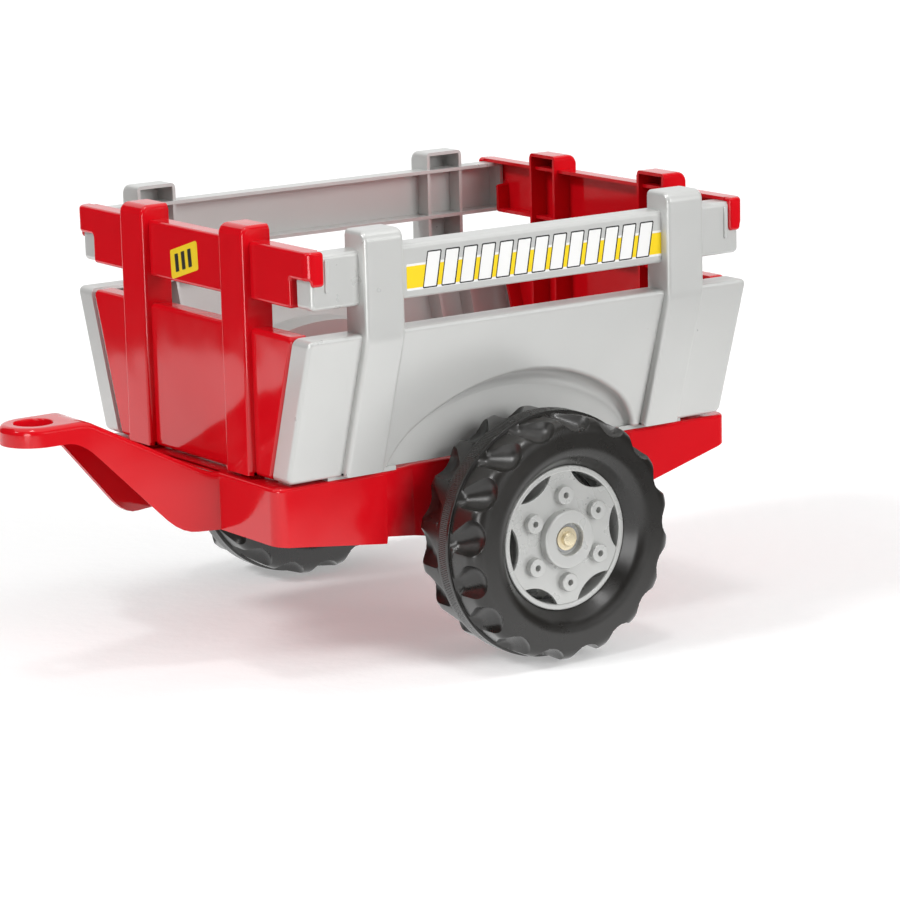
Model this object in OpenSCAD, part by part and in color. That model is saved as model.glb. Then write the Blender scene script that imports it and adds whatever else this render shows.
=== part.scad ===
// Two-wheeled farm trailer for a pedal tractor, in millimetres.
// +X points forwards along the drawbar, +Y to the trailer's left, +Z up.
// The origin is on the ground, under the middle of the whole trailer.

/* [Chassis] */
// Length of the chassis over its end walls
chassis_l = 470; // [420:1:540]
// Width of the chassis over its side walls
chassis_w = 294; // [270:1:320]
// Height of the deck above the ground
deck_z = 166.5; // [160:0.5:185]
// Thickness of the chassis walls
chassis_t = 3.5; // [2.5:0.1:5]
// Radius of the chassis corners, seen from above
chassis_r = 12; // [6:0.5:20]
// Depth of the skirt at the front wall
front_skirt = 48; // [40:1:60]
// Depth of the skirt at the rear wall
rear_skirt = 25; // [18:1:40]
// Depth of the side skirt just ahead of the wheel bay
bay_front_skirt = 61; // [50:1:68]
// Depth of the side skirt just behind the wheel bay
bay_rear_skirt = 54; // [44:1:64]
// Length of the wheel bay along the chassis side
bay_l = 256; // [236:1:264]
// Depth of the wheel bay into the chassis side
bay_in = 12; // [8:0.5:16]
// Length over which the bay wall slants inwards
bay_slant = 35; // [20:1:50]
// Step up of the bottom edge where the bay begins
bay_step = 6; // [3:0.5:10]
// Depth of the stiffening ribs under the deck
rib_h = 16; // [8:1:22]
// Thickness of the stiffening ribs
rib_t = 2.5; // [2:0.1:4]
// Spacing of the ribs that run across
rib_pitch = 62.5; // [50:0.5:66]
// Distance of the lengthwise ribs from the middle
rib_y = 56; // [40:1:60]
// Distance from the wheel bay's wall to the inner bearing plate
bearing_in = 22; // [16:1:30]
// Radius of the chassis wall round the axle
axle_boss_r = 14; // [12:0.5:18]

/* [Drawbar] */
// Length of the drawbar ahead of the front wall
bar_l = 169; // [150:1:200]
// Height of the tongue's top above the ground
tongue_z = 220; // [205:1:235]
// Width of the tongue
tongue_w = 57; // [50:1:66]
// Depth of the tongue's rim
tongue_h = 16; // [12:0.5:22]
// Width of the drawbar where it leaves the front wall
bar_root_w = 116; // [100:1:124]
// Diameter of the hitch eye
eye_d = 32; // [24:0.5:36]
// Wall round the hitch eye
eye_wall = 4; // [3:0.5:6]
// Distance from the front wall to the bend of the drawbar's top
bend_x = 110; // [95:1:120]
// Length of each round bend in the drawbar's top
bend_l = 10; // [6:1:45]

/* [Side panels] */
// Distance of a side panel's end from the chassis end
panel_end = 10; // [7:0.5:16]
// Half the spacing of the panels at their foot, over the outer faces
foot_y = 149; // [145:0.5:155]
// Half the spacing of the panels at the top of the lower panel
waist_y = 188.5; // [175:0.5:200]
// Gap between the deck and the panel's lower edge
panel_lift = 2.7; // [1.5:0.1:4]
// Height of the lower panel
panel_h = 123.8; // [110:0.1:135]
// Depth of the flanges round the lower panel
flange_d = 24; // [18:0.5:28]
// Wall thickness of the panels and boards
panel_t = 3; // [2:0.1:4]
// Corner radius of the lower panel
panel_r = 5; // [4:0.5:12]
// Open gap between the lower panel and the top rail
rail_gap = 23; // [16:0.5:30]
// Height of the top rail
rail_h = 45.2; // [36:0.1:54]
// Distance of the top rail's end from the end of the lower panel
rail_end = 6; // [3:0.5:10]
// Half the spacing of the top rails over their outer faces
rail_y = 184; // [176:0.5:190]
// Depth of the top rail
rail_d = 20.5; // [16:0.5:21]
// Corner radius of the top rail
rail_r = 6; // [3:0.5:9]
// Spacing of the side posts, centre to centre
post_span = 308; // [290:1:330]
// Width of every post
post_w = 38.5; // [30:0.5:46]
// Depth of a side post
post_d = 29; // [25:0.5:34]
// How far a side post stands out from the lower panel at its foot
post_proud = 7; // [4:0.5:9]
// How far a side post stands out from the top rail
post_step = 10; // [6:0.5:12]
// How far the posts rise above the top rail
post_rise = 15.8; // [10:0.2:22]
// Radius of the outer top edge of the posts
post_r = 10; // [5:0.5:14]

/* [Wheel arches] */
// Height of the top of the arch above the ground
arch_top = 238; // [232:0.5:250]
// Radius of the flat arc over the top of the arch
arch_r = 175; // [150:1:190]
// Radius of the rounder arcs at the two ends of the arch
arch_end_r = 70; // [60:0.5:80]
// Distance of the end arcs' centres from the middle of the arch
arch_end_x = 61; // [50:0.5:68]
// Half the spacing of the two arch housings inside the box
arch_in_y = 137; // [134:0.5:140]

/* [Boards] */
// Thickness of the top board of the front board and tailgate
board_d = 15; // [12:0.5:18]
// Distance of the top board's face ahead of the rail's end
board_proud = 4.5; // [3.8:0.1:7]
// Spacing of the board posts, centre to centre
board_post_span = 161; // [130:1:180]
// How far a board post stands out from the top board
board_post_proud = 7; // [4:0.5:9]
// Depth of a board post
board_post_d = 27; // [24:0.5:32]
// Gap between the board's lower panel and the side panel's flange
board_gap = 2.7; // [1:0.1:4]
// Clearance between a hook and the rail under it
hook_gap = 0.3; // [0.3:0.05:0.6]
// Length of a hook along the rail
hook_l = 16; // [12:0.5:20]
// Height of the hook plate over the rail's outer face
hook_h = 23.5; // [18:0.5:28]
// How far the hook's tongue hangs below the hook plate
hook_drop = 5; // [3:0.5:9]
// Width of the notch below each hook in the board's lower corner
notch_w = 25; // [20:0.5:28]
// Length of the pegs that drop into the deck
peg_h = 12; // [8:0.5:16]
// Clearance of the pegs in their sockets
peg_gap = 0.4; // [0.3:0.05:0.8]

/* [Wheels] */
// Diameter of the tyre
tyre_d = 210; // [200:1:216]
// Width of the tyre
tyre_w = 85; // [76:1:90]
// Track of the wheels, between the middles of the tyres
track = 394; // [388:1:410]
// Distance of the axle ahead of the middle of the body
axle_fwd = 3; // [-4:0.5:8]
// Radius of the opening in the tyre's side
bead_r = 59.2; // [56:0.1:62]
// Wall thickness of the tyre
tyre_t = 3; // [2:0.1:4]
// Number of tread lugs on each half of the tyre
lugs = 17; // [12:1:20]
// Depth of the scoops between the lugs at the shoulder
scoop_depth = 12.7; // [10:0.1:14]
// Radius of the scoops at the shoulder
scoop_r = 15.5; // [13:0.5:17]
// Depth of the scoops where they start at the band
scoop_tip_depth = 5.8; // [3:0.1:7]
// Radius of the scoops where they start at the band
scoop_tip_r = 9.5; // [7:0.5:12]
// How far a scoop slants round the tyre on its way to the shoulder
scoop_slant = 10.2; // [0:0.1:12]
// Width of the raised band round the middle of the tread
band_w = 16; // [12:0.5:24]
// How far the band stands out from the lugs
band_h = 2.2; // [1:0.1:3.5]
// Depth of the rim's face below the tyre's outer face
rim_inset = 14; // [10:0.5:18]
// Width of the rim's outer lip
rim_lip = 5; // [4:0.5:8]
// Thickness of the rim's disc
disc_t = 3; // [2:0.1:4]
// Radius of the circle of small bosses
boss_pcr = 37.5; // [34:0.5:40]
// Diameter of the small bosses
boss_d = 16; // [12:0.5:17]
// Height of the small bosses over the disc
boss_h = 6; // [3:0.5:7]
// Hole in the small bosses
boss_hole = 5; // [3:0.5:7]
// Diameter of the raised centre of the rim
hub_d = 50; // [44:0.5:54]
// Height of the raised centre over the disc
hub_h = 8; // [7:0.5:10]
// Diameter of the recess in the raised centre
recess_d = 27.8; // [24:0.2:32]

/* [Axle] */
// Diameter of the axle rod
axle_d = 10; // [8:0.5:12]
// Radial running clearance round the axle
run_gap = 0.1; // [0.05:0.01:0.1]
// Wall of the hub bush
bush_t = 3; // [2:0.1:4]
// Diameter of the spacer between the chassis and the wheel
spacer_d = 18; // [16:0.5:22]
// Side play of the wheel on the axle at each end
side_play = 0.3; // [0.3:0.05:0.8]
// Diameter of the washer under the axle cap
washer_d = 23; // [21:0.5:24]
// Thickness of the washer
washer_t = 1.2; // [0.8:0.1:2]
// Diameter of the axle cap's flange
cap_flange_d = 20; // [16:0.5:21]
// Diameter of the axle cap's button
cap_d = 12; // [11.5:0.1:14]

/* [Screws] */
// Diameter of the panel screws
screw_d = 4; // [3:0.1:5]
// Diameter of the screw heads
screw_head_d = 9; // [7:0.5:10]
// Length of the panel screws under the head
screw_l = 18; // [14:0.5:20]

/* [Hidden] */
$fn = 64;
RED = [0.80, 0.04, 0.08];
SILVER = [0.80, 0.81, 0.79];
GREY = [0.76, 0.77, 0.76];
BLACK = [0.11, 0.11, 0.11];
STEEL = [0.62, 0.63, 0.65];
BRASS = [0.85, 0.70, 0.42];
over = 1;                                  // how far a cut runs past a face

// the whole trailer is centred on the origin, drawbar and all
body_x = -bar_l / 2;
axle_x = body_x + axle_fwd;
axle_z = tyre_d / 2;

// chassis
half_l = chassis_l / 2;
half_w = chassis_w / 2;
bay_y = half_w - bay_in;
bay_len = sqrt(bay_slant * bay_slant + bay_in * bay_in);
axle_boss_out = 3;
skirt_low = axle_z - axle_boss_r;

// drawbar
tip_x = half_l + bar_l;
eye_x = tip_x - tongue_w / 2;
bar_steps = 20;
bar_rib_h = 9;                             // depth of the ribs under the drawbar's top plate
under_start = 20;                          // where the drawbar's lower edge begins to climb
under_run = 105;                           // length of that climb
under_bend = 26;                           // length of each round bend in it

// side panels
panel_z0 = deck_z + panel_lift;
panel_z1 = panel_z0 + panel_h;
panel_l = chassis_l - 2 * panel_end;
rail_l = panel_l - 2 * rail_end;
lean = (waist_y - foot_y) / panel_h;
skin = panel_t * sqrt(1 + lean * lean);    // wall thickness measured level
rail_z0 = panel_z1 + rail_gap;
rail_z1 = rail_z0 + rail_h;
post_top = rail_z1 + post_rise;
post_y = rail_y + post_step;
kink_z = panel_z0 + (post_y - foot_y - post_proud) / lean;
foot_in = 4;                               // the panel's foot is set in from its outer face
foot_l = 76;
screw_y = foot_y - 13;
screw_boss_d = screw_d + 7;

// boards
board_face = rail_l / 2 + board_proud;
board_z0 = rail_z0 + hook_gap;
board_z1 = rail_z1 + hook_gap + panel_t;
board_post_face = board_face + board_post_proud;
board_lower_z0 = panel_z0 + hook_gap;
board_edge = rail_y + hook_gap + panel_t;
peg_w = 24;
peg_t = 9;
peg_x = board_face - board_d / 2;

// wheels, measured outwards from the middle of the tyre
rim_face = tyre_w / 2 - rim_inset;
rim_r = bead_r + 2.1;
rim_in_r = rim_r - rim_lip;
disc_face = rim_face - 1;
hub_face = disc_face + hub_h;
recess_floor = hub_face - 7;
hub_back = -35;
lip_h = 4;
skirt_in = 4;
bush_r = axle_d / 2 + run_gap + bush_t;
seat_gap = 0.1;
windows = 6;
window_half = 19;                          // half the angle that a window spans
window_sag = 6;                            // how far a window bites into the disc
wheel_turn = 2.2;                          // rest angle of the rim
tread_turn = 17.4;                         // rest angle of the tread
crown = tyre_d / 2 - band_h;               // radius over the lugs

// axle
wheel_y = track / 2;
cap_y = wheel_y + recess_floor + side_play + washer_t + seat_gap;
cap_flange_t = 1.2;
cap_h = 6;
cap_end_t = 1.4;
axle_half = cap_y + cap_h - cap_end_t - seat_gap;

// ---- helpers ----

// an outline drawn in Y and Z, run along X from x0 to x1
module along_x(x0, x1) {
    translate([x0, 0, 0]) rotate([90, 0, 90]) linear_extrude(x1 - x0) children();
}

// an outline drawn in X and Z, run along Y from y0 to y1
module along_y(y0, y1) {
    translate([0, y1, 0]) rotate([90, 0, 0]) linear_extrude(y1 - y0) children();
}

// a rectangle with round corners, from its lowest to its highest corner
module rounded(x0, y0, x1, y1, r) {
    translate([x0 + r, y0]) square([x1 - x0 - 2 * r, y1 - y0]);
    translate([x0, y0 + r]) square([x1 - x0, y1 - y0 - 2 * r]);
    for (x = [x0 + r, x1 - r], y = [y0 + r, y1 - r])
        translate([x, y]) circle(r = r);
}

// a box from its lowest to its highest corner
module block(low, high) {
    translate(low) cube(high - low);
}

// a cylinder along Y from y0 to y1, its radius going from r0 to r1
module rod_y(y0, y1, r0, r1) {
    translate([0, y0, 0]) rotate([-90, 0, 0]) cylinder(h = y1 - y0, r1 = r0, r2 = r1);
}

// both ends or both sides of something that is symmetric
module both_x() {
    children();
    mirror([1, 0, 0]) children();
}

module both_y() {
    children();
    mirror([0, 1, 0]) children();
}

// ---- chassis ----

// edge of the wheel bay at a distance y from the middle, moved out by a wall t
function bay_x(y, t) = bay_l / 2 + t * bay_in / bay_len
    + (y - half_w + t * bay_slant / bay_len) * bay_slant / bay_in;

module bay_outline(t) {
    outer = half_w + 2 * over;
    inner = bay_y - t;
    polygon([[-bay_x(outer, t), outer], [bay_x(outer, t), outer],
        [bay_x(inner, t), inner], [-bay_x(inner, t), inner]]);
}

module chassis_plan(t) {
    difference() {
        rounded(-half_l + t, -half_w + t, half_l - t, half_w - t, chassis_r - t);
        both_y() bay_outline(t);
    }
}

// the side skirt deepens towards the wheel bay and drops again to the axle
module skirt_outline() {
    polygon([[-half_l, deck_z], [half_l, deck_z], [half_l, deck_z - front_skirt],
        [bay_l / 2, deck_z - bay_front_skirt],
        [bay_l / 2, deck_z - bay_front_skirt + bay_step],
        [axle_fwd + axle_boss_r, skirt_low], [axle_fwd - axle_boss_r, skirt_low],
        [-bay_l / 2, deck_z - bay_rear_skirt + bay_step],
        [-bay_l / 2, deck_z - bay_rear_skirt], [-half_l, deck_z - rear_skirt]]);
}

module tray() {
    difference() {
        intersection() {
            translate([0, 0, skirt_low]) linear_extrude(deck_z - skirt_low) chassis_plan(0);
            along_y(-half_w, half_w) skirt_outline();
        }
        translate([0, 0, skirt_low - over])
            linear_extrude(deck_z - chassis_t - skirt_low + over) chassis_plan(chassis_t);
    }
}

// ribs under the deck, which stop short of the walls
module deck_ribs() {
    top = deck_z - chassis_t + over / 2;
    for (x = [-2, -1, 1, 2])
        block([x * rib_pitch - rib_t / 2, -bay_y + chassis_t / 2, top - rib_h],
            [x * rib_pitch + rib_t / 2, bay_y - chassis_t / 2, top]);
    for (y = [-rib_y, rib_y])
        block([-half_l + chassis_t / 2, y - rib_t / 2, top - rib_h],
            [half_l - chassis_t / 2, y + rib_t / 2, top]);
}

// two plates and a tube carry the axle at each side
module axle_bearing() {
    plate_y = bay_y - bearing_in;
    along_y(plate_y, plate_y + chassis_t) {
        translate([axle_fwd, axle_z]) circle(r = axle_boss_r);
        translate([axle_fwd - axle_boss_r, axle_z])
            square([2 * axle_boss_r, deck_z - chassis_t / 2 - axle_z]);
    }
    translate([axle_fwd, 0, axle_z])
        rod_y(plate_y, bay_y + axle_boss_out, axle_d / 2 + 4, axle_d / 2 + 4);
}

// a ramp from 0 to 1, straight but for a round bend of length b at each end
function ramp(u, b) = let(v = max(0, min(1, u)), k = 1 / (2 * b * (1 - b)))
    v < b ? k * v * v : v > 1 - b ? 1 - k * (1 - v) * (1 - v) : k * b * (2 * v - b);

// height of the drawbar's top and of its lower edge, x ahead of the front wall
function bar_top(x) = deck_z + (tongue_z - deck_z) * ramp(x / bend_x, bend_l / bend_x);
function bar_low(x) = deck_z - front_skirt
    + (tongue_z - tongue_h - deck_z + front_skirt) * ramp((x - under_start) / under_run, under_bend / under_run);

// outline of the drawbar from the side, with its top lowered and its lower edge raised
module bar_side(drop, raise, x_end) {
    reach = x_end - half_l;
    top = [for (i = [0 : bar_steps]) [bend_x * i / bar_steps, 0]];
    low = [for (i = [bar_steps : -1 : 0]) [under_start + under_run * i / bar_steps, 0]];
    polygon(concat(
        [[half_l - chassis_t / 2, deck_z - drop]],
        [for (q = top) [half_l + q[0], bar_top(q[0]) - drop]],
        [[half_l + reach, tongue_z - drop], [half_l + reach, tongue_z - tongue_h + raise]],
        [for (q = low) [half_l + q[0], bar_low(q[0]) + raise]],
        [[half_l - chassis_t / 2, deck_z - front_skirt + raise]]));
}

// the drawbar from above: it narrows to the bend and ends in a round tongue
module bar_plan(t) {
    w0 = bar_root_w / 2 - t;
    w1 = tongue_w / 2 - t;
    polygon([[half_l - chassis_t / 2, -w0], [half_l + bend_x, -w1], [eye_x, -w1],
        [eye_x, w1], [half_l + bend_x, w1], [half_l - chassis_t / 2, w0]]);
    translate([eye_x, 0]) circle(r = w1);
}

// outline of a rib that hangs a little way down from the drawbar's top plate
module bar_rib() {
    difference() {
        bar_side(chassis_t / 2, 6, eye_x);
        translate([0, -chassis_t - bar_rib_h]) bar_side(0, -front_skirt, eye_x + over);
    }
}

module drawbar() {
    wide = bar_root_w / 2;
    intersection() {
        translate([0, 0, skirt_low]) linear_extrude(tongue_z - skirt_low) difference() {
            bar_plan(0);
            bar_plan(chassis_t);
        }
        along_y(-wide, wide) bar_side(0, 0, tip_x);
    }
    // the top plate follows the same line, one wall thick
    intersection() {
        translate([0, 0, skirt_low]) linear_extrude(tongue_z - skirt_low) bar_plan(chassis_t / 2);
        along_y(-wide, wide) difference() {
            bar_side(0, 0, tip_x);
            translate([0, -chassis_t]) bar_side(0, -front_skirt, tip_x + over);
        }
    }
    // ribs inside the channel
    intersection() {
        translate([0, 0, skirt_low]) linear_extrude(tongue_z - skirt_low) bar_plan(chassis_t / 2);
        union() {
            along_y(-rib_t / 2, rib_t / 2) bar_rib();
            for (x = [bend_x * 0.35, bend_x * 0.75])
                intersection() {
                    along_y(-wide, wide) bar_rib();
                    block([half_l + x, -wide, skirt_low], [half_l + x + rib_t, wide, tongue_z]);
                }
        }
    }
    translate([eye_x, 0, tongue_z - tongue_h]) cylinder(h = tongue_h, d = eye_d + 2 * eye_wall);
}

// the socket under the deck that takes a board's peg
module peg_socket() {
    w = peg_w / 2 + peg_gap + rib_t;
    t = peg_t / 2 + peg_gap + rib_t;
    block([peg_x - t, board_post_span / 2 - w, deck_z - peg_h - 2],
        [peg_x + t, board_post_span / 2 + w, deck_z - chassis_t / 2]);
}

module peg_hole() {
    w = peg_w / 2 + peg_gap;
    t = peg_t / 2 + peg_gap;
    block([peg_x - t, board_post_span / 2 - w, deck_z - peg_h - 2 - over],
        [peg_x + t, board_post_span / 2 + w, deck_z + over]);
}

module chassis() {
    color(RED) translate([body_x, 0, 0]) difference() {
        union() {
            tray();
            deck_ribs();
            both_y() axle_bearing();
            both_x() both_y() peg_socket();
            drawbar();
        }
        both_x() both_y() peg_hole();
        translate([axle_fwd, 0, axle_z])
            rod_y(-half_w, half_w, axle_d / 2 + run_gap, axle_d / 2 + run_gap);
        translate([eye_x, 0, tongue_z - tongue_h - over])
            cylinder(h = tongue_h + 2 * over, d = eye_d);
        both_x() both_y() translate([post_span / 2, screw_y, deck_z - rib_h - 2 * over])
            cylinder(h = rib_h + 4 * over, d = screw_d + 1);
    }
}

// ---- side panels ----

// level distance of the leaning outer face from the middle, at a height z
function face_y(z) = foot_y + (z - panel_z0) * lean;

module lean_section(z0, z1, cut, depth) {
    polygon([[face_y(z0) - cut, z0], [face_y(z1) - cut, z1],
        [face_y(z1) - depth, z1], [face_y(z0) - depth, z0]]);
}

module lower_panel() {
    difference() {
        intersection() {
            along_x(-panel_l / 2, panel_l / 2) lean_section(panel_z0, panel_z1, 0, flange_d);
            along_y(0, 2 * waist_y)
                rounded(-panel_l / 2, panel_z0, panel_l / 2, panel_z1, panel_r);
        }
        intersection() {
            along_x(-panel_l / 2, panel_l / 2)
                lean_section(panel_z0, panel_z1, skin, 2 * flange_d);
            along_y(0, 2 * waist_y)
                rounded(-panel_l / 2 + panel_t, panel_z0 + panel_t,
                    panel_l / 2 - panel_t, panel_z1 - panel_t, panel_r - panel_t);
        }
    }
}

// outline of the wheel arch, grown by a wall t: a flat arc between two rounder ones
module arch_outline(t) {
    top_c = arch_top - arch_r;
    end_c = top_c + sqrt(pow(arch_r - arch_end_r, 2) - arch_end_x * arch_end_x);
    touch = (arch_r + t) / (arch_r - arch_end_r);
    intersection() {
        translate([0, top_c]) circle(r = arch_r + t, $fn = 128);
        polygon([[0, top_c], [arch_end_x * touch, top_c + (end_c - top_c) * touch],
            [arch_end_x * touch, arch_top + t + over], [-arch_end_x * touch, arch_top + t + over],
            [-arch_end_x * touch, top_c + (end_c - top_c) * touch]]);
    }
    for (s = [-1, 1]) translate([s * arch_end_x, end_c]) circle(r = arch_end_r + t);
    translate([-arch_end_x, end_c - arch_end_r]) square([2 * arch_end_x, arch_end_r + over]);
}

// the wheel arch recess behind the leaning face
module arch_recess(t) {
    along_y(arch_in_y + panel_t - t, waist_y + 20) arch_outline(t);
}

module arch_housing() {
    intersection() {
        difference() {
            arch_recess(panel_t);
            arch_recess(0);
        }
        along_x(-panel_l / 2, panel_l / 2) lean_section(panel_z0, panel_z1, 0, 2 * flange_d);
    }
}

module top_rail() {
    difference() {
        intersection() {
            along_x(-rail_l / 2, rail_l / 2) rounded(rail_y - rail_d - rail_r, rail_z0,
                rail_y, rail_z1, 2);
            translate([0, 0, rail_z0]) linear_extrude(rail_h)
                rounded(-rail_l / 2, rail_y - 2 * rail_d, rail_l / 2, rail_y, rail_r);
            block([-rail_l, rail_y - rail_d, rail_z0], [rail_l, rail_y, rail_z1]);
        }
        translate([0, 0, rail_z0 + panel_t]) linear_extrude(rail_h - 2 * panel_t)
            rounded(-rail_l / 2 + panel_t, rail_y - 2 * rail_d,
                rail_l / 2 - panel_t, rail_y - panel_t, rail_r - panel_t);
    }
    // a short stop on the outer face keeps each hook from sliding along
    stop_x = board_face - hook_l - 5;
    both_x() block([stop_x, rail_y - over, rail_z0 + 14],
        [stop_x + 3.5, rail_y + 2, rail_z1 - 4]);
}

// outline of a side post from the end: it leans, then stands upright
module side_post_section(t) {
    slack = t > 0 ? over : 0;
    back = post_y - post_d - slack;
    polygon([[face_y(panel_z0 + t) + post_proud - t, panel_z0 + t], [post_y - t, kink_z],
        [post_y - t, post_top - post_r], [post_y - post_r, post_top - t],
        [back, post_top - t], [back, kink_z],
        [face_y(panel_z0 + t) + post_proud - post_d - slack, panel_z0 + t]]);
    translate([post_y - post_r, post_top - post_r]) circle(r = post_r - t);
}

module side_post_body(t) {
    w = post_w / 2 - t;
    along_x(post_span / 2 - w, post_span / 2 + w) side_post_section(t);
}

// the foot under each post stands on the deck and takes a screw from below
module panel_foot() {
    block([post_span / 2 - foot_l / 2, face_y(panel_z0) - flange_d, deck_z],
        [post_span / 2 + foot_l / 2 - 8, face_y(panel_z0) - foot_in, panel_z0 + over]);
    translate([post_span / 2, screw_y, deck_z])
        cylinder(h = screw_l + 2, d = screw_boss_d);
}

module side_panel() {
    color(SILVER) translate([body_x, 0, 0]) difference() {
        union() {
            difference() {
                union() {
                    difference() {
                        lower_panel();
                        arch_recess(0);
                    }
                    arch_housing();
                    top_rail();
                    both_x() side_post_body(0);
                }
                both_x() side_post_body(panel_t);
            }
            both_x() panel_foot();
        }
        both_x() translate([post_span / 2, screw_y, deck_z - over])
            cylinder(h = screw_l + 1, d = screw_d + 0.2);
    }
}

module left_side_panel() side_panel();
module right_side_panel() mirror([0, 1, 0]) side_panel();

// ---- front board and tailgate: one moulding, used at both ends ----

// half the width of the board's lower panel at a height z
function board_half(z) = face_y(z) - flange_d - board_gap;

module board_lower(t) {
    z0 = board_lower_z0 + t;
    z1 = panel_z1 - t;
    slack = t > 0 ? over : 0;
    along_x(board_face - board_d - slack, board_face + 1 - t)
        polygon([[-board_half(z0) + t, z0], [board_half(z0) - t, z0],
            [board_half(z1) - t, z1], [-board_half(z1) + t, z1]]);
}

// the top board with the notch below each hook, hollow from the back
module board_top(t) {
    slack = t > 0 ? over : 0;
    half = rail_y - notch_w - t;
    block([board_face - board_d - slack, -half, board_z0 + t],
        [board_face - t, half, board_z1 - t]);
}

// the end of the board wraps over the rail's corner
module board_hook() {
    hook_z = board_z1 - hook_h;
    difference() {
        intersection() {
            block([board_face - hook_l, rail_y - notch_w - over, hook_z],
                [board_face, board_edge, board_z1]);
            translate([0, 0, hook_z]) linear_extrude(hook_h)
                rounded(0, 0, board_face, board_edge, rail_r + panel_t);
        }
        translate([0, 0, hook_z - over]) linear_extrude(hook_h + over - panel_t)
            rounded(-over, -over, board_face - panel_t, rail_y + hook_gap, rail_r);
    }
    block([board_face - hook_l, rail_y + hook_gap, hook_z - hook_drop],
        [board_face - 3, board_edge, hook_z + over]);
}

// outline of a board post from the side
module board_post_section(t) {
    slack = t > 0 ? over : 0;
    face = board_post_face;
    back = face - board_post_d - slack;
    polygon([[back, board_lower_z0 + t], [face - t, board_lower_z0 + t],
        [face - t, post_top - post_r], [face - post_r, post_top - t], [back, post_top - t]]);
    translate([face - post_r, post_top - post_r]) circle(r = post_r - t);
}

module board_post_body(t) {
    w = post_w / 2 - t;
    along_y(board_post_span / 2 - w, board_post_span / 2 + w) board_post_section(t);
}

module board_peg() {
    block([peg_x - peg_t / 2, board_post_span / 2 - peg_w / 2, deck_z - peg_h],
        [peg_x + peg_t / 2, board_post_span / 2 + peg_w / 2, board_lower_z0 + panel_t]);
}

module end_board() {
    difference() {
        union() {
            difference() {
                union() {
                    board_lower(0);
                    board_top(0);
                }
                board_lower(panel_t);
                board_top(panel_t);
            }
            both_y() board_post_body(0);
            both_y() board_hook();
        }
        both_y() board_post_body(panel_t);
    }
    both_y() board_peg();
}

module front_board() color(RED) translate([body_x, 0, 0]) end_board();
module tailgate() color(RED) translate([body_x, 0, 0]) mirror([1, 0, 0]) end_board();

// ---- wheels, drawn with their axis along Z and their outer face upwards ----

// places a wheel piece: +1 is the left wheel, -1 the right
module on_axle(side) {
    translate([axle_x, 0, axle_z]) rotate([0, 0, side > 0 ? 0 : 180])
        translate([0, wheel_y, 0]) rotate([-90, 0, 0]) children();
}

// the same list of points followed by its mirror image, last point first
function both_sides(q) = concat(q, [for (i = [len(q) - 1 : -1 : 0]) [q[i][0], -q[i][1]]]);

// the tyre before its scoops are cut; each outline has its radius to the right
module casing() {
    half = tyre_w / 2;
    shoulder = 12;
    cheek = 14;
    side_r = bead_r + 20;
    flat = 0.25;                           // how far the flats stay below the round parts
    seat = rim_face - lip_h - seat_gap;
    // the side dips in a hollow to the bead beside the rim's lip
    rotate_extrude() polygon(both_sides([[bead_r, seat], [rim_r + seat_gap, seat],
        [rim_r + seat_gap, rim_face - 1.5], [side_r - 12, half - 7.5],
        [side_r, half - flat], [crown - shoulder, half - flat],
        [crown - shoulder, half - shoulder], [crown - flat, half - shoulder]]));
    rotate_extrude() translate([crown - 5, -band_w / 2]) square([tyre_d / 2 - crown + 5, band_w]);
    for (s = [-1, 1]) {
        rotate_extrude() translate([crown - shoulder, s * (half - shoulder)])
            circle(r = shoulder);
        rotate_extrude() translate([side_r, s * (half - cheek)]) circle(r = cheek);
    }
}

// the hollow inside the tyre, open between the beads
module casing_hollow() {
    half = tyre_w / 2;
    rotate_extrude() polygon(both_sides([[bead_r - over, 17], [bead_r + tyre_t, 17],
        [bead_r + 6, 25], [bead_r + 10.5, 34], [bead_r + 17, half - tyre_t - 0.5],
        [crown - scoop_depth - tyre_t, half - tyre_t - 0.5],
        [crown - scoop_depth - tyre_t, half - 7],
        [crown - scoop_tip_depth - tyre_t, band_w / 2 - 1]]));
}

// one scoop: a round-ended tool that starts at the band, slants, widens and sinks to the shoulder
module scoop() {
    y_in = band_w / 2 - 0.8;
    y_out = tyre_w / 2 - 6.5;
    tip = crown - scoop_tip_depth + scoop_tip_r;
    fall = atan((tip - crown + scoop_depth - scoop_r) / (y_out - y_in));
    flat_run = (y_out - y_in) / cos(fall);
    run = sqrt(flat_run * flat_run + scoop_slant * scoop_slant);
    back = scoop_tip_r / run;
    widen = scoop_r - scoop_tip_r;
    intersection() {
        translate([tip, 0, y_in]) rotate([asin(scoop_slant / run), -fall, 0]) {
            translate([0, 0, -back * run])
                cylinder(h = run + back * run, r1 = scoop_tip_r - back * widen, r2 = scoop_r);
            translate([0, 0, run]) sphere(r = scoop_r);
        }
        translate([0, -tyre_d / 2, y_in]) cube([tyre_d, tyre_d, tyre_w]);
    }
}

module tyre() {
    color(BLACK) difference() {
        casing();
        casing_hollow();
        for (i = [0 : lugs - 1]) {
            rotate([0, 0, tread_turn + i * 360 / lugs]) scoop();
            rotate([0, 0, tread_turn + (i + 0.5) * 360 / lugs]) mirror([0, 0, 1]) scoop();
        }
    }
}

// one of the six lens-shaped windows between the rim's lip and its disc
module window_outline() {
    chord = rim_in_r * cos(window_half);
    reach = rim_in_r * sin(window_half);
    bite_r = (reach * reach + window_sag * window_sag) / (2 * window_sag);
    intersection() {
        circle(r = rim_in_r + 0.4);
        translate([chord - window_sag + bite_r, 0]) circle(r = bite_r);
    }
}

// the lip and the seat that plugs into the tyre, in section
module rim_seat() {
    translate([rim_in_r, rim_face - lip_h]) square([rim_lip, lip_h]);
    translate([rim_in_r, skirt_in]) square([bead_r - seat_gap - rim_in_r, rim_face - skirt_in]);
}

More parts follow.
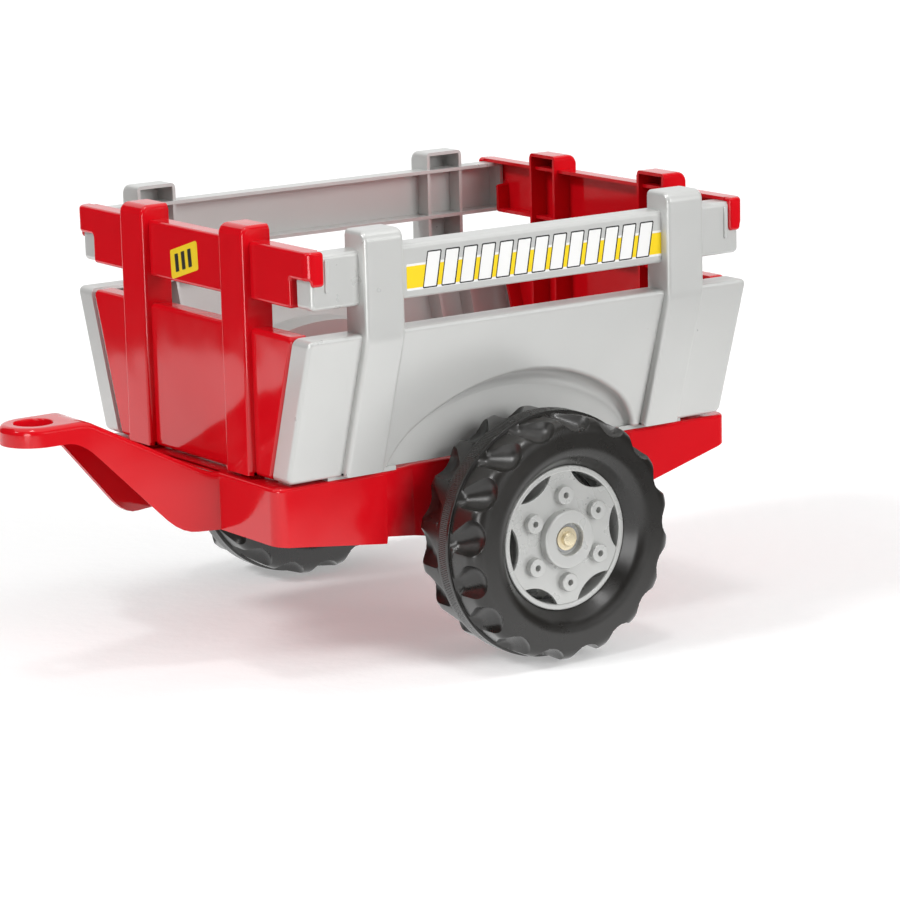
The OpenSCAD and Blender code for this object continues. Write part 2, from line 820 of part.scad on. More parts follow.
module outer_rim() {
    tube_r = bush_r + seat_gap;
    hub_r = hub_d / 2;
    wall_r = recess_d / 2;
    color(GREY) rotate([0, 0, wheel_turn]) difference() {
        union() {
            rotate_extrude() {
                rim_seat();
                // disc, raised centre with its recess, and the tube over the bush
                polygon([[rim_in_r + over, disc_face], [hub_r, disc_face], [hub_r, hub_face],
                    [wall_r, hub_face], [wall_r, recess_floor], [tube_r, recess_floor],
                    [tube_r, seat_gap], [tube_r + disc_t, seat_gap],
                    [tube_r + disc_t, recess_floor - disc_t],
                    [wall_r + disc_t, recess_floor - disc_t], [wall_r + disc_t, hub_face - disc_t],
                    [hub_r - disc_t, hub_face - disc_t], [hub_r - disc_t, disc_face - disc_t],
                    [rim_in_r + over, disc_face - disc_t]]);
            }
            for (i = [0 : windows - 1]) rotate([0, 0, 30 + i * 60])
                translate([boss_pcr, 0, disc_face - disc_t / 2])
                    cylinder(h = boss_h + disc_t / 2, d = boss_d);
        }
        for (i = [0 : windows - 1]) {
            rotate([0, 0, 30 + i * 60]) translate([boss_pcr, 0, disc_face - disc_t - over])
                cylinder(h = boss_h + disc_t + 2 * over, d = boss_hole);
            rotate([0, 0, i * 60]) translate([0, 0, disc_face - disc_t - over])
                linear_extrude(disc_t + 2 * over) window_outline();
        }
    }
}

module inner_rim() {
    tube_r = bush_r + seat_gap;
    disc_y = rim_face - 6;
    color(GREY) rotate([0, 0, wheel_turn]) mirror([0, 0, 1]) {
        rotate_extrude() {
            rim_seat();
            polygon([[rim_in_r + over, disc_y], [tube_r + disc_t, disc_y],
                [tube_r + disc_t, -hub_back], [tube_r, -hub_back], [tube_r, seat_gap],
                [tube_r + disc_t, seat_gap], [tube_r + disc_t, disc_y - disc_t],
                [rim_in_r + over, disc_y - disc_t]]);
        }
        for (i = [0 : windows - 1]) rotate([0, 0, 30 + i * 60])
            translate([tube_r + disc_t / 2, -rib_t / 2, disc_y - over])
                cube([rim_in_r - tube_r - disc_t / 2 + over, rib_t, 5]);
    }
}

module hub_bush() {
    color(BLACK) difference() {
        translate([0, 0, hub_back]) cylinder(h = recess_floor - hub_back, r = bush_r);
        translate([0, 0, hub_back - over])
            cylinder(h = recess_floor - hub_back + 2 * over, r = axle_d / 2 + run_gap);
    }
}

module left_tyre() on_axle(1) tyre();
module right_tyre() on_axle(-1) tyre();
module left_outer_rim() on_axle(1) outer_rim();
module right_outer_rim() on_axle(-1) outer_rim();
module left_inner_rim() on_axle(1) inner_rim();
module right_inner_rim() on_axle(-1) inner_rim();
module left_hub_bush() on_axle(1) hub_bush();
module right_hub_bush() on_axle(-1) hub_bush();

// ---- axle and its fittings ----

module axle_rod() {
    color(STEEL) translate([axle_x, 0, axle_z])
        rod_y(-axle_half, axle_half, axle_d / 2, axle_d / 2);
}

// a ring on the axle, from y0 to y1 out from the middle of the trailer
module axle_ring(side, y0, y1, r) {
    translate([axle_x, 0, axle_z]) rotate([0, 0, side > 0 ? 0 : 180]) difference() {
        rod_y(y0, y1, r, r);
        rod_y(y0 - over, y1 + over, axle_d / 2 + run_gap, axle_d / 2 + run_gap);
    }
}

module spacer(side) {
    color(BLACK) axle_ring(side, bay_y + axle_boss_out + side_play,
        wheel_y + hub_back - side_play, spacer_d / 2);
}

module washer(side) {
    start = wheel_y + recess_floor + side_play;
    color(STEEL) axle_ring(side, start, start + washer_t, washer_d / 2);
}

// a pressed cap with a flange and a domed button, closed over the axle's end
module axle_cap(side) {
    inside = axle_d / 2 + run_gap / 2;
    round = 2;
    color(BRASS) translate([axle_x, 0, axle_z]) rotate([0, 0, side > 0 ? 0 : 180])
        translate([0, cap_y, 0]) rotate([-90, 0, 0]) rotate_extrude() difference() {
            union() {
                square([cap_flange_d / 2, cap_flange_t]);
                square([cap_d / 2, cap_h - round]);
                square([cap_d / 2 - round, cap_h]);
                translate([cap_d / 2 - round, cap_h - round]) intersection() {
                    circle(r = round);
                    square(round);
                }
            }
            translate([0, -over]) square([inside, cap_h - cap_end_t + over]);
        }
}

module left_spacer() spacer(1);
module right_spacer() spacer(-1);
module left_washer() washer(1);
module right_washer() washer(-1);
module left_axle_cap() axle_cap(1);
module right_axle_cap() axle_cap(-1);

// ---- screws that hold a side panel from below ----

module panel_screws() {
    head_top = deck_z - chassis_t;
    color(STEEL) translate([body_x, 0, 0]) both_x() translate([post_span / 2, screw_y, 0]) {
        translate([0, 0, head_top - 3]) cylinder(h = 3, d = screw_head_d);
        translate([0, 0, head_top - over]) cylinder(h = screw_l + over, d = screw_d);
    }
}

module left_panel_screws() panel_screws();
module right_panel_screws() mirror([0, 1, 0]) panel_screws();

// ---- one line per node ----

chassis();
left_side_panel();
right_side_panel();
front_board();
tailgate();
axle_rod();
left_tyre();
right_tyre();
left_outer_rim();
right_outer_rim();
left_inner_rim();
right_inner_rim();
left_hub_bush();
right_hub_bush();
left_spacer();
right_spacer();
left_washer();
right_washer();
left_axle_cap();
right_axle_cap();
left_panel_screws();
right_panel_screws();
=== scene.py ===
# %% [markdown]
# # A farm trailer for a pedal tractor
# The trailer is made of a few large plastic mouldings: a red chassis with its drawbar, two silver sides, two red end
# boards and two lugged wheels. Its sizes and joints are fixed elsewhere. This lesson gives each moulding its rounded
# edges, its thin walls and its finish. Every length below is in millimetres until it reaches a mesh.

# %% Load the fixed frame
import math

import bmesh
import bpy
import numpy as np
from mathutils import Matrix, Vector


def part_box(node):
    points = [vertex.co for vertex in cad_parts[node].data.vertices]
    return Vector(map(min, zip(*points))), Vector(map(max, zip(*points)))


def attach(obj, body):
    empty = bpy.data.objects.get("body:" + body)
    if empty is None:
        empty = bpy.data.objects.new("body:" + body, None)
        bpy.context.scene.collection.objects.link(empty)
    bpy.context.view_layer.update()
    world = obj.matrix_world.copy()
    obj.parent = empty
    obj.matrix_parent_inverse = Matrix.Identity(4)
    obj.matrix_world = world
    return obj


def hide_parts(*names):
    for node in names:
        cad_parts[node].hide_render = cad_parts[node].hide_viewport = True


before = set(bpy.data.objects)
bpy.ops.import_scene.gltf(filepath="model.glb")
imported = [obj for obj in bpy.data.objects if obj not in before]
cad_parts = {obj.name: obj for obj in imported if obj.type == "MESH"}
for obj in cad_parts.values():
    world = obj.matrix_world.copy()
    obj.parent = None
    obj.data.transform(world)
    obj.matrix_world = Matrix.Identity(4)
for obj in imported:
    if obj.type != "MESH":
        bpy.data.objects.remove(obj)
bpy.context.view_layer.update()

MM = 0.001


# %% [markdown]
# ## Where things are
# The frame already knows where each piece lies, so the driving places are read from its boxes. The body of the trailer
# is symmetric about its own middle, a little behind the middle of the whole object because of the drawbar.

# %% Read the driving places
def box_mm(node):
    """The lowest and the highest corner of a node, in millimetres."""
    low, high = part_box(node)
    return np.array(low) / MM, np.array(high) / MM


panel_low, panel_high = box_mm("left_side_panel")
tyre_low, tyre_high = box_mm("left_tyre")
body_x = (panel_low[0] + panel_high[0]) / 2
axle_x, wheel_y, axle_z = (tyre_low + tyre_high) / 2
deck_z, post_top = panel_low[2], panel_high[2]
print("body x", round(body_x, 2), "axle", round(axle_x, 2), round(axle_z, 2), "deck", round(deck_z, 2))


# %% [markdown]
# ## Paths with round corners
# Nearly every moulding starts as a flat outline. A toy has no sharp corner, so each corner of an outline carries a
# radius. The path keeps its outward normals as well, because a wall's thickness is measured along them.

# %% An outline with round corners
SHORTEST_STEP, LEAST_RADIUS, SAME_POINT = 0.5, 0.05, 1e-4


def outline(corners, turn_step=10.0, run=24.0):
    """Points and outward normals of a closed path with round corners. run is the longest gap, one or one per corner.

    A corner is (x, y, radius), listed anticlockwise. Its arc is start + side * radius * (n - n0): n turns evenly from
    the normal of the edge before the corner, n0, to that of the edge after it, and side is -1 at a hollow corner.
    """
    data = np.array(corners, float)
    vertex, radius = data[:, :2], data[:, 2]
    ahead = np.roll(vertex, -1, axis=0) - vertex
    ahead /= np.linalg.norm(ahead, axis=1, keepdims=True)
    behind = np.roll(ahead, 1, axis=0)
    cross = behind[:, 0] * ahead[:, 1] - behind[:, 1] * ahead[:, 0]
    turn = np.arctan2(cross, (behind * ahead).sum(axis=1))
    tangent = radius * np.abs(np.tan(turn / 2))
    gap = np.broadcast_to(np.asarray(run, float), len(data))
    points, normals = [], []
    for k, angle in enumerate(turn):
        widest = max(turn_step, math.degrees(SHORTEST_STEP / max(radius[k], LEAST_RADIUS)))
        steps = max(2, math.ceil(abs(math.degrees(angle)) / widest) + 1)
        heading = np.arctan2(-behind[k, 0], behind[k, 1]) + np.linspace(0, angle, steps)
        n = np.stack([np.cos(heading), np.sin(heading)], axis=1)
        arc = vertex[k] - behind[k] * tangent[k] + np.sign(angle) * radius[k] * (n - n[0])
        after = (k + 1) % len(data)
        leg = vertex[after] - ahead[k] * tangent[after] - arc[-1]
        extra = int(np.linalg.norm(leg) // gap[k])
        share = np.arange(1, extra + 1)[:, None] / (extra + 1)
        points += [arc, arc[-1] + share * leg]
        normals += [n, np.repeat(n[-1:], extra, axis=0)]
    points, normals = np.concatenate(points), np.concatenate(normals)
    step = np.linalg.norm(points - np.roll(points, 1, axis=0), axis=1)
    return points[step > SAME_POINT], normals[step > SAME_POINT]


def box_corners(x0, y0, x1, y1, radius):
    """The four corners of a rectangle, anticlockwise, all with one radius."""
    return [(x0, y0, radius), (x1, y0, radius), (x1, y1, radius), (x0, y1, radius)]


print("a rounded box has", len(outline(box_corners(0, 0, 100, 40, 5))[0]), "points")


# %% [markdown]
# ## Grids and parts
# A part here is a pair: an array of points and a list of faces. A grid of points gives its quads by index arithmetic,
# so no loop runs over the points. Parts can then be joined, mirrored and moved as plain arrays, and only a finished
# piece has to become a mesh.

# %% Parts as arrays
def grid_quads(rows, columns, wrap_rows=False, wrap_columns=False):
    """Quads between neighbours of a grid whose points are numbered row by row."""
    i = np.arange(rows if wrap_rows else rows - 1)[:, None]
    j = np.arange(columns if wrap_columns else columns - 1)[None, :]
    i2, j2 = (i + 1) % rows, (j + 1) % columns
    quads = np.stack([i * columns + j, i * columns + j2, i2 * columns + j2, i2 * columns + j], axis=-1)
    return quads.reshape(-1, 4).tolist()


def rings_part(rings):
    """A part from closed rings of equal length, with an end face on the first and the last."""
    count, length = rings.shape[:2]
    faces = grid_quads(count, length, wrap_columns=True)
    faces.append(list(range(length))[::-1])
    faces.append(list(range((count - 1) * length, count * length)))
    return rings.reshape(-1, 3), faces


def joined(*parts):
    """Several parts as one: the face numbers of each are moved up by the points before it."""
    starts = np.cumsum([0] + [len(points) for points, faces in parts])
    faces = [[v + s for v in face] for s, (points, part) in zip(starts.tolist(), parts) for face in part]
    return np.concatenate([points for points, part in parts]), faces


def turned(part, x=1, y=1):
    """A part mirrored in X or Y, or in both."""
    points, faces = part
    return points * np.array([x, y, 1.0]), faces


def moved(part, x=0.0, y=0.0):
    """A part moved by a distance along X, Y or both."""
    points, faces = part
    return points + np.array([x, y, 0.0]), faces


def four_ways(part):
    """A part at all four corners of the trailer."""
    return joined(*[turned(part, x, y) for x in (-1, 1) for y in (-1, 1)])


print("a grid of 3 by 4 points has", len(grid_quads(3, 4)), "quads")


# %% [markdown]
# ## Places
# Each moulding is drawn flat and then faces one way. A place turns the flat u, v and w into x, y and z: u and v run
# along the face and w stands out from it, so everything behind the face has a negative w. The drawing of a panel stays
# the same whichever way it faces.

# %% Ways that a moulding can face
def as_drawn(u, v, w):
    return np.stack([u, v, w], axis=-1)


def facing_side(y):
    return lambda u, v, w: np.stack([u, y + w, v], axis=-1)


def facing_front(x):
    return lambda u, v, w: np.stack([x + w, u, v], axis=-1)


def facing_up(z):
    return lambda u, v, w: np.stack([u, v, z + w], axis=-1)


print("a point 2 behind a face at y = 10 lies at", facing_side(10)(1, 3, -2))


# %% [markdown]
# ## Trays, plates and turned shapes
# A tray is the form that an injection mould likes best: one face, a rounded edge, a wall round it, and the same again
# on the inside. Modelling the inner side too costs little, and the thin rims that show from behind make the plastic
# look like plastic. A plate has a plain back instead, and a round piece is a closed section turned about its axis.

# %% Trays, plates and turned shapes
def edge_rows(radius, steps):
    """Inset and depth along a rounded edge: radius * (1 - cos t) and radius * (1 - sin t), t from 0 to 90 degrees."""
    t = np.linspace(0, np.pi / 2, steps)
    return radius * (1 - np.cos(t)), radius * (1 - np.sin(t))


def layered(path, place, insets, depths):
    """A part from rings of a path (points, normals): each ring is points - inset * normals, at w = -depth."""
    points, normals = path
    flat = points[None] - np.array(insets)[:, None, None] * normals[None]
    w = -np.stack([np.broadcast_to(np.asarray(depth, float), len(points)) for depth in depths])
    return rings_part(place(flat[..., 0], flat[..., 1], w))


def tray(path, place, edge, depth, wall, steps=6):
    """A hollow moulding, open at the back, whose depth is a number or one for each point of the path.

    The rings run from the inner face along the inner wall, round the rim, up the outer wall and over the rounded edge
    to the outer face.
    """
    inset, down = edge_rows(edge, steps)
    return layered(path, place, [wall, wall, 0.0, *inset], [wall, depth, depth, *down])


def plate(path, place, edge, thick, steps=4):
    """A flat piece with a rounded front edge and a plain back."""
    inset, down = edge_rows(edge, steps)
    return layered(path, place, [0.0, *inset], [thick, *down])


def block(low, high, edge=0.4):
    """A straight rib or boss with slightly rounded edges on its upper face."""
    path = outline(box_corners(low[0], low[1], high[0], high[1], 2 * edge), turn_step=45)
    return plate(path, facing_up(high[2]), edge, high[2] - low[2], steps=3)


def revolved(section, count, place):
    """A closed section of (radius, height) turned about its axis: x = r cos t, y = r sin t, z = height."""
    section = np.asarray(section, float)
    t = np.linspace(0, 2 * np.pi, count, endpoint=False)[None, :]
    r, h = section[:, :1], section[:, 1:]
    points = place(r * np.cos(t), r * np.sin(t), h + 0 * t)
    return points.reshape(-1, 3), grid_quads(len(section), count, wrap_rows=True, wrap_columns=True)


def turned_section(corners, count, place, turn_step=15.0):
    """A closed section of (radius, height, corner radius), turned about its axis."""
    return revolved(outline(corners, turn_step=turn_step, run=30.0)[0], count, place)


print("a block has", len(block((0, 0, 0), (20, 10, 5))[0]), "points")


# %% [markdown]
# ## From parts to pieces
# The arrays go into a mesh in metres. Faces are turned outwards once per closed shell, edges sharper than a limit stay
# sharp, and a Weighted Normal modifier lets the big flat faces keep their flat shading beside the small rounded edges.

# %% Make a piece
SHARP = math.radians(32)


def turn_outwards(mesh):
    """Recalculates the normals of each closed shell."""
    shell = bmesh.new()
    shell.from_mesh(mesh)
    bmesh.ops.recalc_face_normals(shell, faces=shell.faces)
    shell.to_mesh(mesh)
    shell.free()


def placed(name, points, faces):
    """An object in the scene, at the origin, of points and faces."""
    mesh = bpy.data.meshes.new(name)
    mesh.from_pydata(points, [], faces)
    made = bpy.data.objects.new(name, mesh)
    bpy.context.scene.collection.objects.link(made)
    return made


def piece(name, part, body, material, replaces=()):
    """A mesh object of a part, which rides on a body of the frame."""
    points, faces = part
    made = placed(name, (points * MM).tolist(), faces)
    turn_outwards(made.data)
    made.data.shade_smooth()
    made.data.set_sharp_from_angle(angle=SHARP)
    made.data.materials.append(material)
    flat_first = made.modifiers.new("flat faces first", "WEIGHTED_NORMAL")
    flat_first.keep_sharp = True
    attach(made, body)
    if replaces:
        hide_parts(*replaces)
    print(name, len(points), "points", len(faces), "faces")


print("edges over", round(math.degrees(SHARP)), "degrees stay sharp")


# %% [markdown]
# ## Shader maths in plain expressions
# A material is a graph of nodes, but it reads best as a formula. A Wire wraps one output socket, and adding or
# multiplying wires adds the Math nodes. Every other node comes from one method, which sets the node's settings first
# and then fills its sockets.

# %% The Wire class
class Wire:
    """One output socket in a material's graph. Arithmetic on it adds Math nodes."""

    def __init__(self, tree, socket=None):
        self.tree = tree
        self.socket = socket

    def fill(self, node, inputs):
        """Links a node's sockets to the wires among the inputs, and sets the others."""
        for name, value in inputs.items():
            if isinstance(value, Wire):
                self.tree.links.new(value.socket, node.inputs[name])
            else:
                node.inputs[name].default_value = value

    def node(self, kind, settings=None, inputs=None, output=0):
        """A new node: its settings first, then the values or wires of its sockets. Gives the wire of one output."""
        made = self.tree.nodes.new(kind)
        for name, value in (settings or {}).items():
            setattr(made, name, value)
        self.fill(made, inputs or {})
        return Wire(self.tree, made.outputs[output] if len(made.outputs) else None)

    def math(self, operation, first, second=0.0):
        return self.node("ShaderNodeMath", {"operation": operation}, {0: first, 1: second})

    def __add__(self, other):
        return self.math("ADD", self, other)

    __radd__ = __add__

    def __mul__(self, other):
        return self.math("MULTIPLY", self, other)

    __rmul__ = __mul__

    def __sub__(self, other):
        return self.math("SUBTRACT", self, other)

    def __rsub__(self, other):
        return self.math("SUBTRACT", other, self)

    def above(self, limit):
        """1 where the value is over the limit, else 0."""
        return self.math("GREATER_THAN", self, limit)

    def below(self, limit):
        """1 where the value is under the limit, else 0."""
        return self.math("LESS_THAN", self, limit)


print("a Wire adds, subtracts, multiplies and compares")


# %% [markdown]
# ## Patterns and mixes
# The finishes below are built from four things: noise on the piece's own coordinates, a mix of two colours, a relief
# that bends the light, and the plain coordinates where a pattern has to follow the wheel. Object coordinates are in
# metres and stay with a piece when it moves, so a grain keeps its real size and doesn't swim.

# %% Noise, mixes and reliefs
def coordinates(wire):
    """Object coordinates, in metres."""
    return wire.node("ShaderNodeTexCoord", output="Object")


def apart(wire):
    """The x, y and z of the Object coordinates."""
    spot = coordinates(wire)
    return [wire.node("ShaderNodeSeparateXYZ", inputs={"Vector": spot}, output=axis) for axis in "XYZ"]


def noise(wire, scale, detail):
    """Noise from 0 to 1 with features of about 1 / scale metres."""
    return wire.node("ShaderNodeTexNoise", inputs={"Vector": coordinates(wire), "Scale": scale, "Detail": detail})


def grey(level):
    return (level, level, level, 1)


def mixed(wire, factor, first, second):
    """A mix of two colours."""
    return wire.node("ShaderNodeMix", {"data_type": "RGBA"}, {0: factor, 6: first, 7: second}, output=2)


def relief(wire, height, distance, under=None, strength=1.0):
    """The normal of a relief, its height in metres where the pattern is 1, on top of another relief."""
    inputs = {"Strength": strength, "Distance": distance, "Height": height}
    if under is not None:
        inputs["Normal"] = under
    return wire.node("ShaderNodeBump", inputs=inputs)


def new_material(name):
    """An empty material, the wire to build with and its Principled shader."""
    material = bpy.data.materials.new(name)
    material.use_nodes = True
    shader = next(n for n in material.node_tree.nodes if n.type == "BSDF_PRINCIPLED")
    return material, Wire(material.node_tree), shader


print("mid grey is", grey(0.5))


# %% [markdown]
# ## Sizes of the sides
# The lower sides lean outwards, so that the box is wider at its waist than at its foot. Above the waist comes a slot
# that a hand fits through, and above that the rail. The leaning face moves out with v, so it gets its own place.

# %% Heights and the lean
PANEL_LIFT, PANEL_HEIGHT, SLOT_HEIGHT, RAIL_HEIGHT = 2.7, 123.8, 23.0, 45.2
FOOT_Y, WAIST_Y = 149.0, 188.5
panel_z0 = deck_z + PANEL_LIFT
panel_z1 = panel_z0 + PANEL_HEIGHT
rail_z0 = panel_z1 + SLOT_HEIGHT
rail_z1 = rail_z0 + RAIL_HEIGHT
lean = (WAIST_Y - FOOT_Y) / PANEL_HEIGHT


def side_face(z):
    """Distance of the leaning outer face from the middle: the foot's distance + lean * height above the foot."""
    return FOOT_Y + (z - panel_z0) * lean


def facing_out(u, v, w):
    return np.stack([u, side_face(v) + w, v], axis=-1)


print("the panels lean by", round(math.degrees(math.atan(lean)), 1), "degrees; post tops at", round(post_top, 1))


# %% [markdown]
# ## The wheel arch
# An arch of one radius would look stiff. This one has three centres, as stone bridges do: a flat arc over the top and
# a rounder one at each foot, which meet where they share a tangent. A short straight at each foot leaves room for a
# small radius at the panel's lower edge.

# %% The corners of the arch
ARCH_TOP, ARCH_R, ARCH_END_R, ARCH_END_X = 238.0, 175.0, 70.0, 61.0
ARCH_FOOT_ANGLE = math.radians(5)


def arch(grow):
    """The arch from its left foot to its right one, as three round corners, and half its width at the foot.

    The corner of an arc is where the tangents at its ends meet: centre + radius / cos(half its angle), at its middle.
    """
    top_z = ARCH_TOP - ARCH_R
    end_z = top_z + math.sqrt((ARCH_R - ARCH_END_R) ** 2 - ARCH_END_X ** 2)
    meet = math.atan2(end_z - top_z, ARCH_END_X)
    r = ARCH_END_R + grow
    start = math.asin((panel_z0 - end_z) / r) + ARCH_FOOT_ANGLE
    middle, reach = (meet + start) / 2, r / math.cos((meet - start) / 2)
    x, z = ARCH_END_X + reach * math.cos(middle), end_z + reach * math.sin(middle)
    drop = (end_z + r * math.sin(start) - panel_z0) / math.cos(start)
    foot = ARCH_END_X + r * math.cos(start) + drop * math.sin(start)
    peak = top_z + (ARCH_R + grow) / math.cos(math.pi / 2 - meet)
    return foot, [(-x, z, r), (0.0, peak, ARCH_R + grow), (x, z, r)]


arch_foot, arch_path = arch(0.0)
print("arch", round(2 * arch_foot), "mm wide at its foot")


# %% [markdown]
# ## A post
# The posts are channels: a face, two sides and a rounded top, all one wall thick and open at the back. Across the post
# the section is always the same, so the shape is that section carried up the face and back over the top.

# %% Make a post
WALL, POST_WIDTH, POST_EDGE, POST_TOP_R = 3.0, 38.5, 4.0, 9
BELOW_TOP, BACK_RISE = 12.0, 7.0


def post(corners, back, place):
    """A channel whose face follows a path. corners gives the path's side view, (outwards, z, radius).

    The path runs up the face and back over the top. Across it, a column lies at u, and at an offset from the path
    along its normal, which is 0 on the face, -edge * (1 - sin t) on the rounded edge and -wall inside. The side
    walls end on the back line, back(z). Over the top of the face the back line rises evenly by its last bit.
    """
    points, normals = outline(corners, turn_step=9.0, run=40.0)
    end = int(np.argmax(points[:, 1] - 0.01 * points[:, 0])) + 1
    points, normals = points[:end], normals[:end]
    shoulder = points[-1, 1] - BELOW_TOP
    over = np.cumsum(points[:, 1] > shoulder)
    height = np.minimum(points[:, 1], shoulder) + BACK_RISE * over / max(1, over[-1])
    behind = np.stack([back(height), height], axis=1)

    inset, down = edge_rows(POST_EDGE, 5)
    half = POST_WIDTH / 2
    across = np.concatenate([-half + inset, (half - inset)[::-1]])
    offset = np.concatenate([-down, -down[::-1]])
    outer = points[:, None] + offset[None, :, None] * normals[:, None]
    inner = points - WALL * normals
    columns = [(-half, behind)] + [(u, outer[:, k]) for k, u in enumerate(across)] + [
        (half, behind), (half - WALL, behind), (half - WALL, inner), (WALL - half, inner), (WALL - half, behind)]
    u = np.array([c[0] for c in columns])[None, :] + np.zeros((len(points), 1))
    spot = np.stack([c[1] for c in columns], axis=1)
    return rings_part(place(u, spot[..., 1], spot[..., 0]))


print("a post is", POST_WIDTH, "mm wide and", WALL, "mm thick")


# %% [markdown]
# ## The lower panel and its arch
# A side is one moulding: a leaning lower panel with a wheel arch, a top rail, and two posts that tie them together.
# The arch has a housing, which keeps the load off the wheel. From outside it is a pocket with a flat floor, and from
# inside the box it is a hump. The panel's wall is simply deeper along the arch, down to that floor, and a hollow round
# leads from the wall to the floor.

# %% The lower panel and its arch
PANEL_LENGTH, FLANGE, PANEL_EDGE, PANEL_CORNER = 450.0, 24.0, 4.0, 6
ARCH_CORNER, ARCH_TURN = 5, 4.0
ARCH_FLOOR, PAST_FLOOR, LEAST_DEPTH = 140.0, 1.5, 7.5
COVE_SHARE, COVE_LOWER, COVE_LEAST, COVE_MOST = 0.62, 4.0, 2.0, 17.0


def lower_panel():
    """The panel below the slot: a leaning tray, cut out by the arch."""
    half = PANEL_LENGTH / 2
    corners = [(-half, panel_z0, PANEL_CORNER), (-arch_foot, panel_z0, ARCH_CORNER), *arch_path,
               (arch_foot, panel_z0, ARCH_CORNER), (half, panel_z0, PANEL_CORNER), (half, panel_z1, PANEL_CORNER),
               (-half, panel_z1, PANEL_CORNER)]
    path = outline(corners, turn_step=ARCH_TURN)
    x, z = path[0].T
    on_arch = (np.abs(x) < arch_foot + 2) & (z < ARCH_TOP + 2)
    deep = np.where(on_arch, np.maximum(side_face(z) - ARCH_FLOOR + PAST_FLOOR, LEAST_DEPTH), FLANGE)
    return tray(path, facing_out, PANEL_EDGE, deep, WALL)


def arch_floor():
    """The flat floor of the arch pocket, one wall wider than the arch."""
    foot, hump = arch(WALL)
    path = outline([(-foot, panel_z0, 1), (foot, panel_z0, 1), *hump[::-1]], turn_step=ARCH_TURN)
    return plate(path, facing_side(ARCH_FLOOR), 0.5, WALL)


def arch_cove():
    """The hollow round that leads from the arch's wall to the floor: r (1 - cos t) along, r (1 - sin t) above it.

    Its radius is a share of the pocket's depth, so it is widest over the top of the arch and small at its feet. A
    millimetre of it is sunk in the wall and in the floor.
    """
    path = outline([(-arch_foot, panel_z0, 1), *arch_path, (arch_foot, panel_z0, 1)], turn_step=ARCH_TURN, run=12.0)
    points, normals = [values[path[0][:, 1] > panel_z0 + 1.0] for values in path]
    r = COVE_SHARE * (side_face(points[:, 1]) - ARCH_FLOOR - COVE_LOWER)
    r = np.clip(r, COVE_LEAST, COVE_MOST)[:, None]
    t = np.linspace(0, math.pi / 2, 9)[None, :]
    sunk = -1.0 + 0 * r
    along = np.concatenate([r * (1 - np.cos(t)), r, sunk, sunk], axis=1)
    above = np.concatenate([r * (1 - np.sin(t)), sunk, sunk, r], axis=1)
    flat = points[:, None, :] + along[..., None] * normals[:, None, :]
    return rings_part(facing_side(ARCH_FLOOR)(flat[..., 0], flat[..., 1], above))


lower_left = joined(lower_panel(), arch_floor(), arch_cove())
print("the lower panel has", len(lower_left[0]), "points")


# %% [markdown]
# ## Rail, posts and feet
# Each post leans with the panel as far as a kink and then stands upright beside the rail. The panel stands on a foot
# under each post, with a boss that takes the screw from below. Near its ends the rail carries a low upright strip,
# which keeps the board's hook from sliding inwards.

# %% A whole side
RAIL_LENGTH, RAIL_Y, RAIL_DEPTH, RAIL_CORNER = 438.0, 184.0, 20.5, 4.5
POST_SPAN, POST_Y, SIDE_POST_DEPTH, POST_PROUD, KINK_R = 308.0, 194.0, 29.0, 7.0, 30
FOOT_BEHIND, FOOT_AHEAD, FOOT_INNER, FOOT_OUTER = 38, 30, 125, 145
SCREW_Y, SCREW_R, SCREW_BOSS_R, SCREW_BOSS_HEIGHT = 136, 2.1, 5.5, 20
STOP_X0, STOP_X1, STOP_FACE, STOP_FROM_BELOW, STOP_FROM_TOP, STOP_CORNER = 202.5, 206, 2, 14, 4, 1.2


def side_post():
    """A post that leans with the panel as far as the kink and then stands upright."""
    kink = panel_z0 + (POST_Y - FOOT_Y - POST_PROUD) / lean
    foot = FOOT_Y + POST_PROUD
    foot_back, back_y = foot - SIDE_POST_DEPTH, POST_Y - SIDE_POST_DEPTH
    corners = [(foot, panel_z0, 0.5), (POST_Y, kink, KINK_R), (POST_Y, post_top, POST_TOP_R), (back_y, post_top, 0.5),
               (foot_back, panel_z0, 0.5)]
    return post(corners, lambda z: np.interp(z, [panel_z0, kink], [foot_back, back_y]),
                lambda u, v, w: np.stack([u, w, v], axis=-1))


def side_panel():
    """All parts of the left side."""
    post_x = POST_SPAN / 2
    rail = tray(outline(box_corners(-RAIL_LENGTH / 2, rail_z0, RAIL_LENGTH / 2, rail_z1, RAIL_CORNER)),
                facing_side(RAIL_Y), PANEL_EDGE, RAIL_DEPTH, WALL)
    foot = block((post_x - FOOT_BEHIND, FOOT_INNER, deck_z), (post_x + FOOT_AHEAD, FOOT_OUTER, panel_z0 + 1))
    strip = box_corners(STOP_X0, rail_z0 + STOP_FROM_BELOW, STOP_X1, rail_z1 - STOP_FROM_TOP, STOP_CORNER)
    stop = plate(outline(strip, turn_step=30), facing_side(RAIL_Y + STOP_FACE), 1.0, STOP_FACE + 1.0)
    low, high = deck_z, deck_z + SCREW_BOSS_HEIGHT
    boss = revolved([(SCREW_R, low), (SCREW_BOSS_R, low), (SCREW_BOSS_R, high), (SCREW_R, high)], 32, as_drawn)
    one_end = joined(moved(side_post(), post_x), foot, stop, moved(boss, post_x, SCREW_Y))
    return joined(lower_left, rail, one_end, turned(one_end, x=-1))


left_side = moved(side_panel(), body_x)
print("a side has", len(left_side[0]), "points")


# %% [markdown]
# ## Bending a flat part
# The front board and the tailgate are the same moulding. Its top part ends in hooks that wrap round the ends of the
# silver rails, which is what locks the box together. A wrap is easy to draw flat: the outline of the board with its
# two notches and tongues is laid out along a belt, cut into narrow strips where the belt will bend, and then bent.

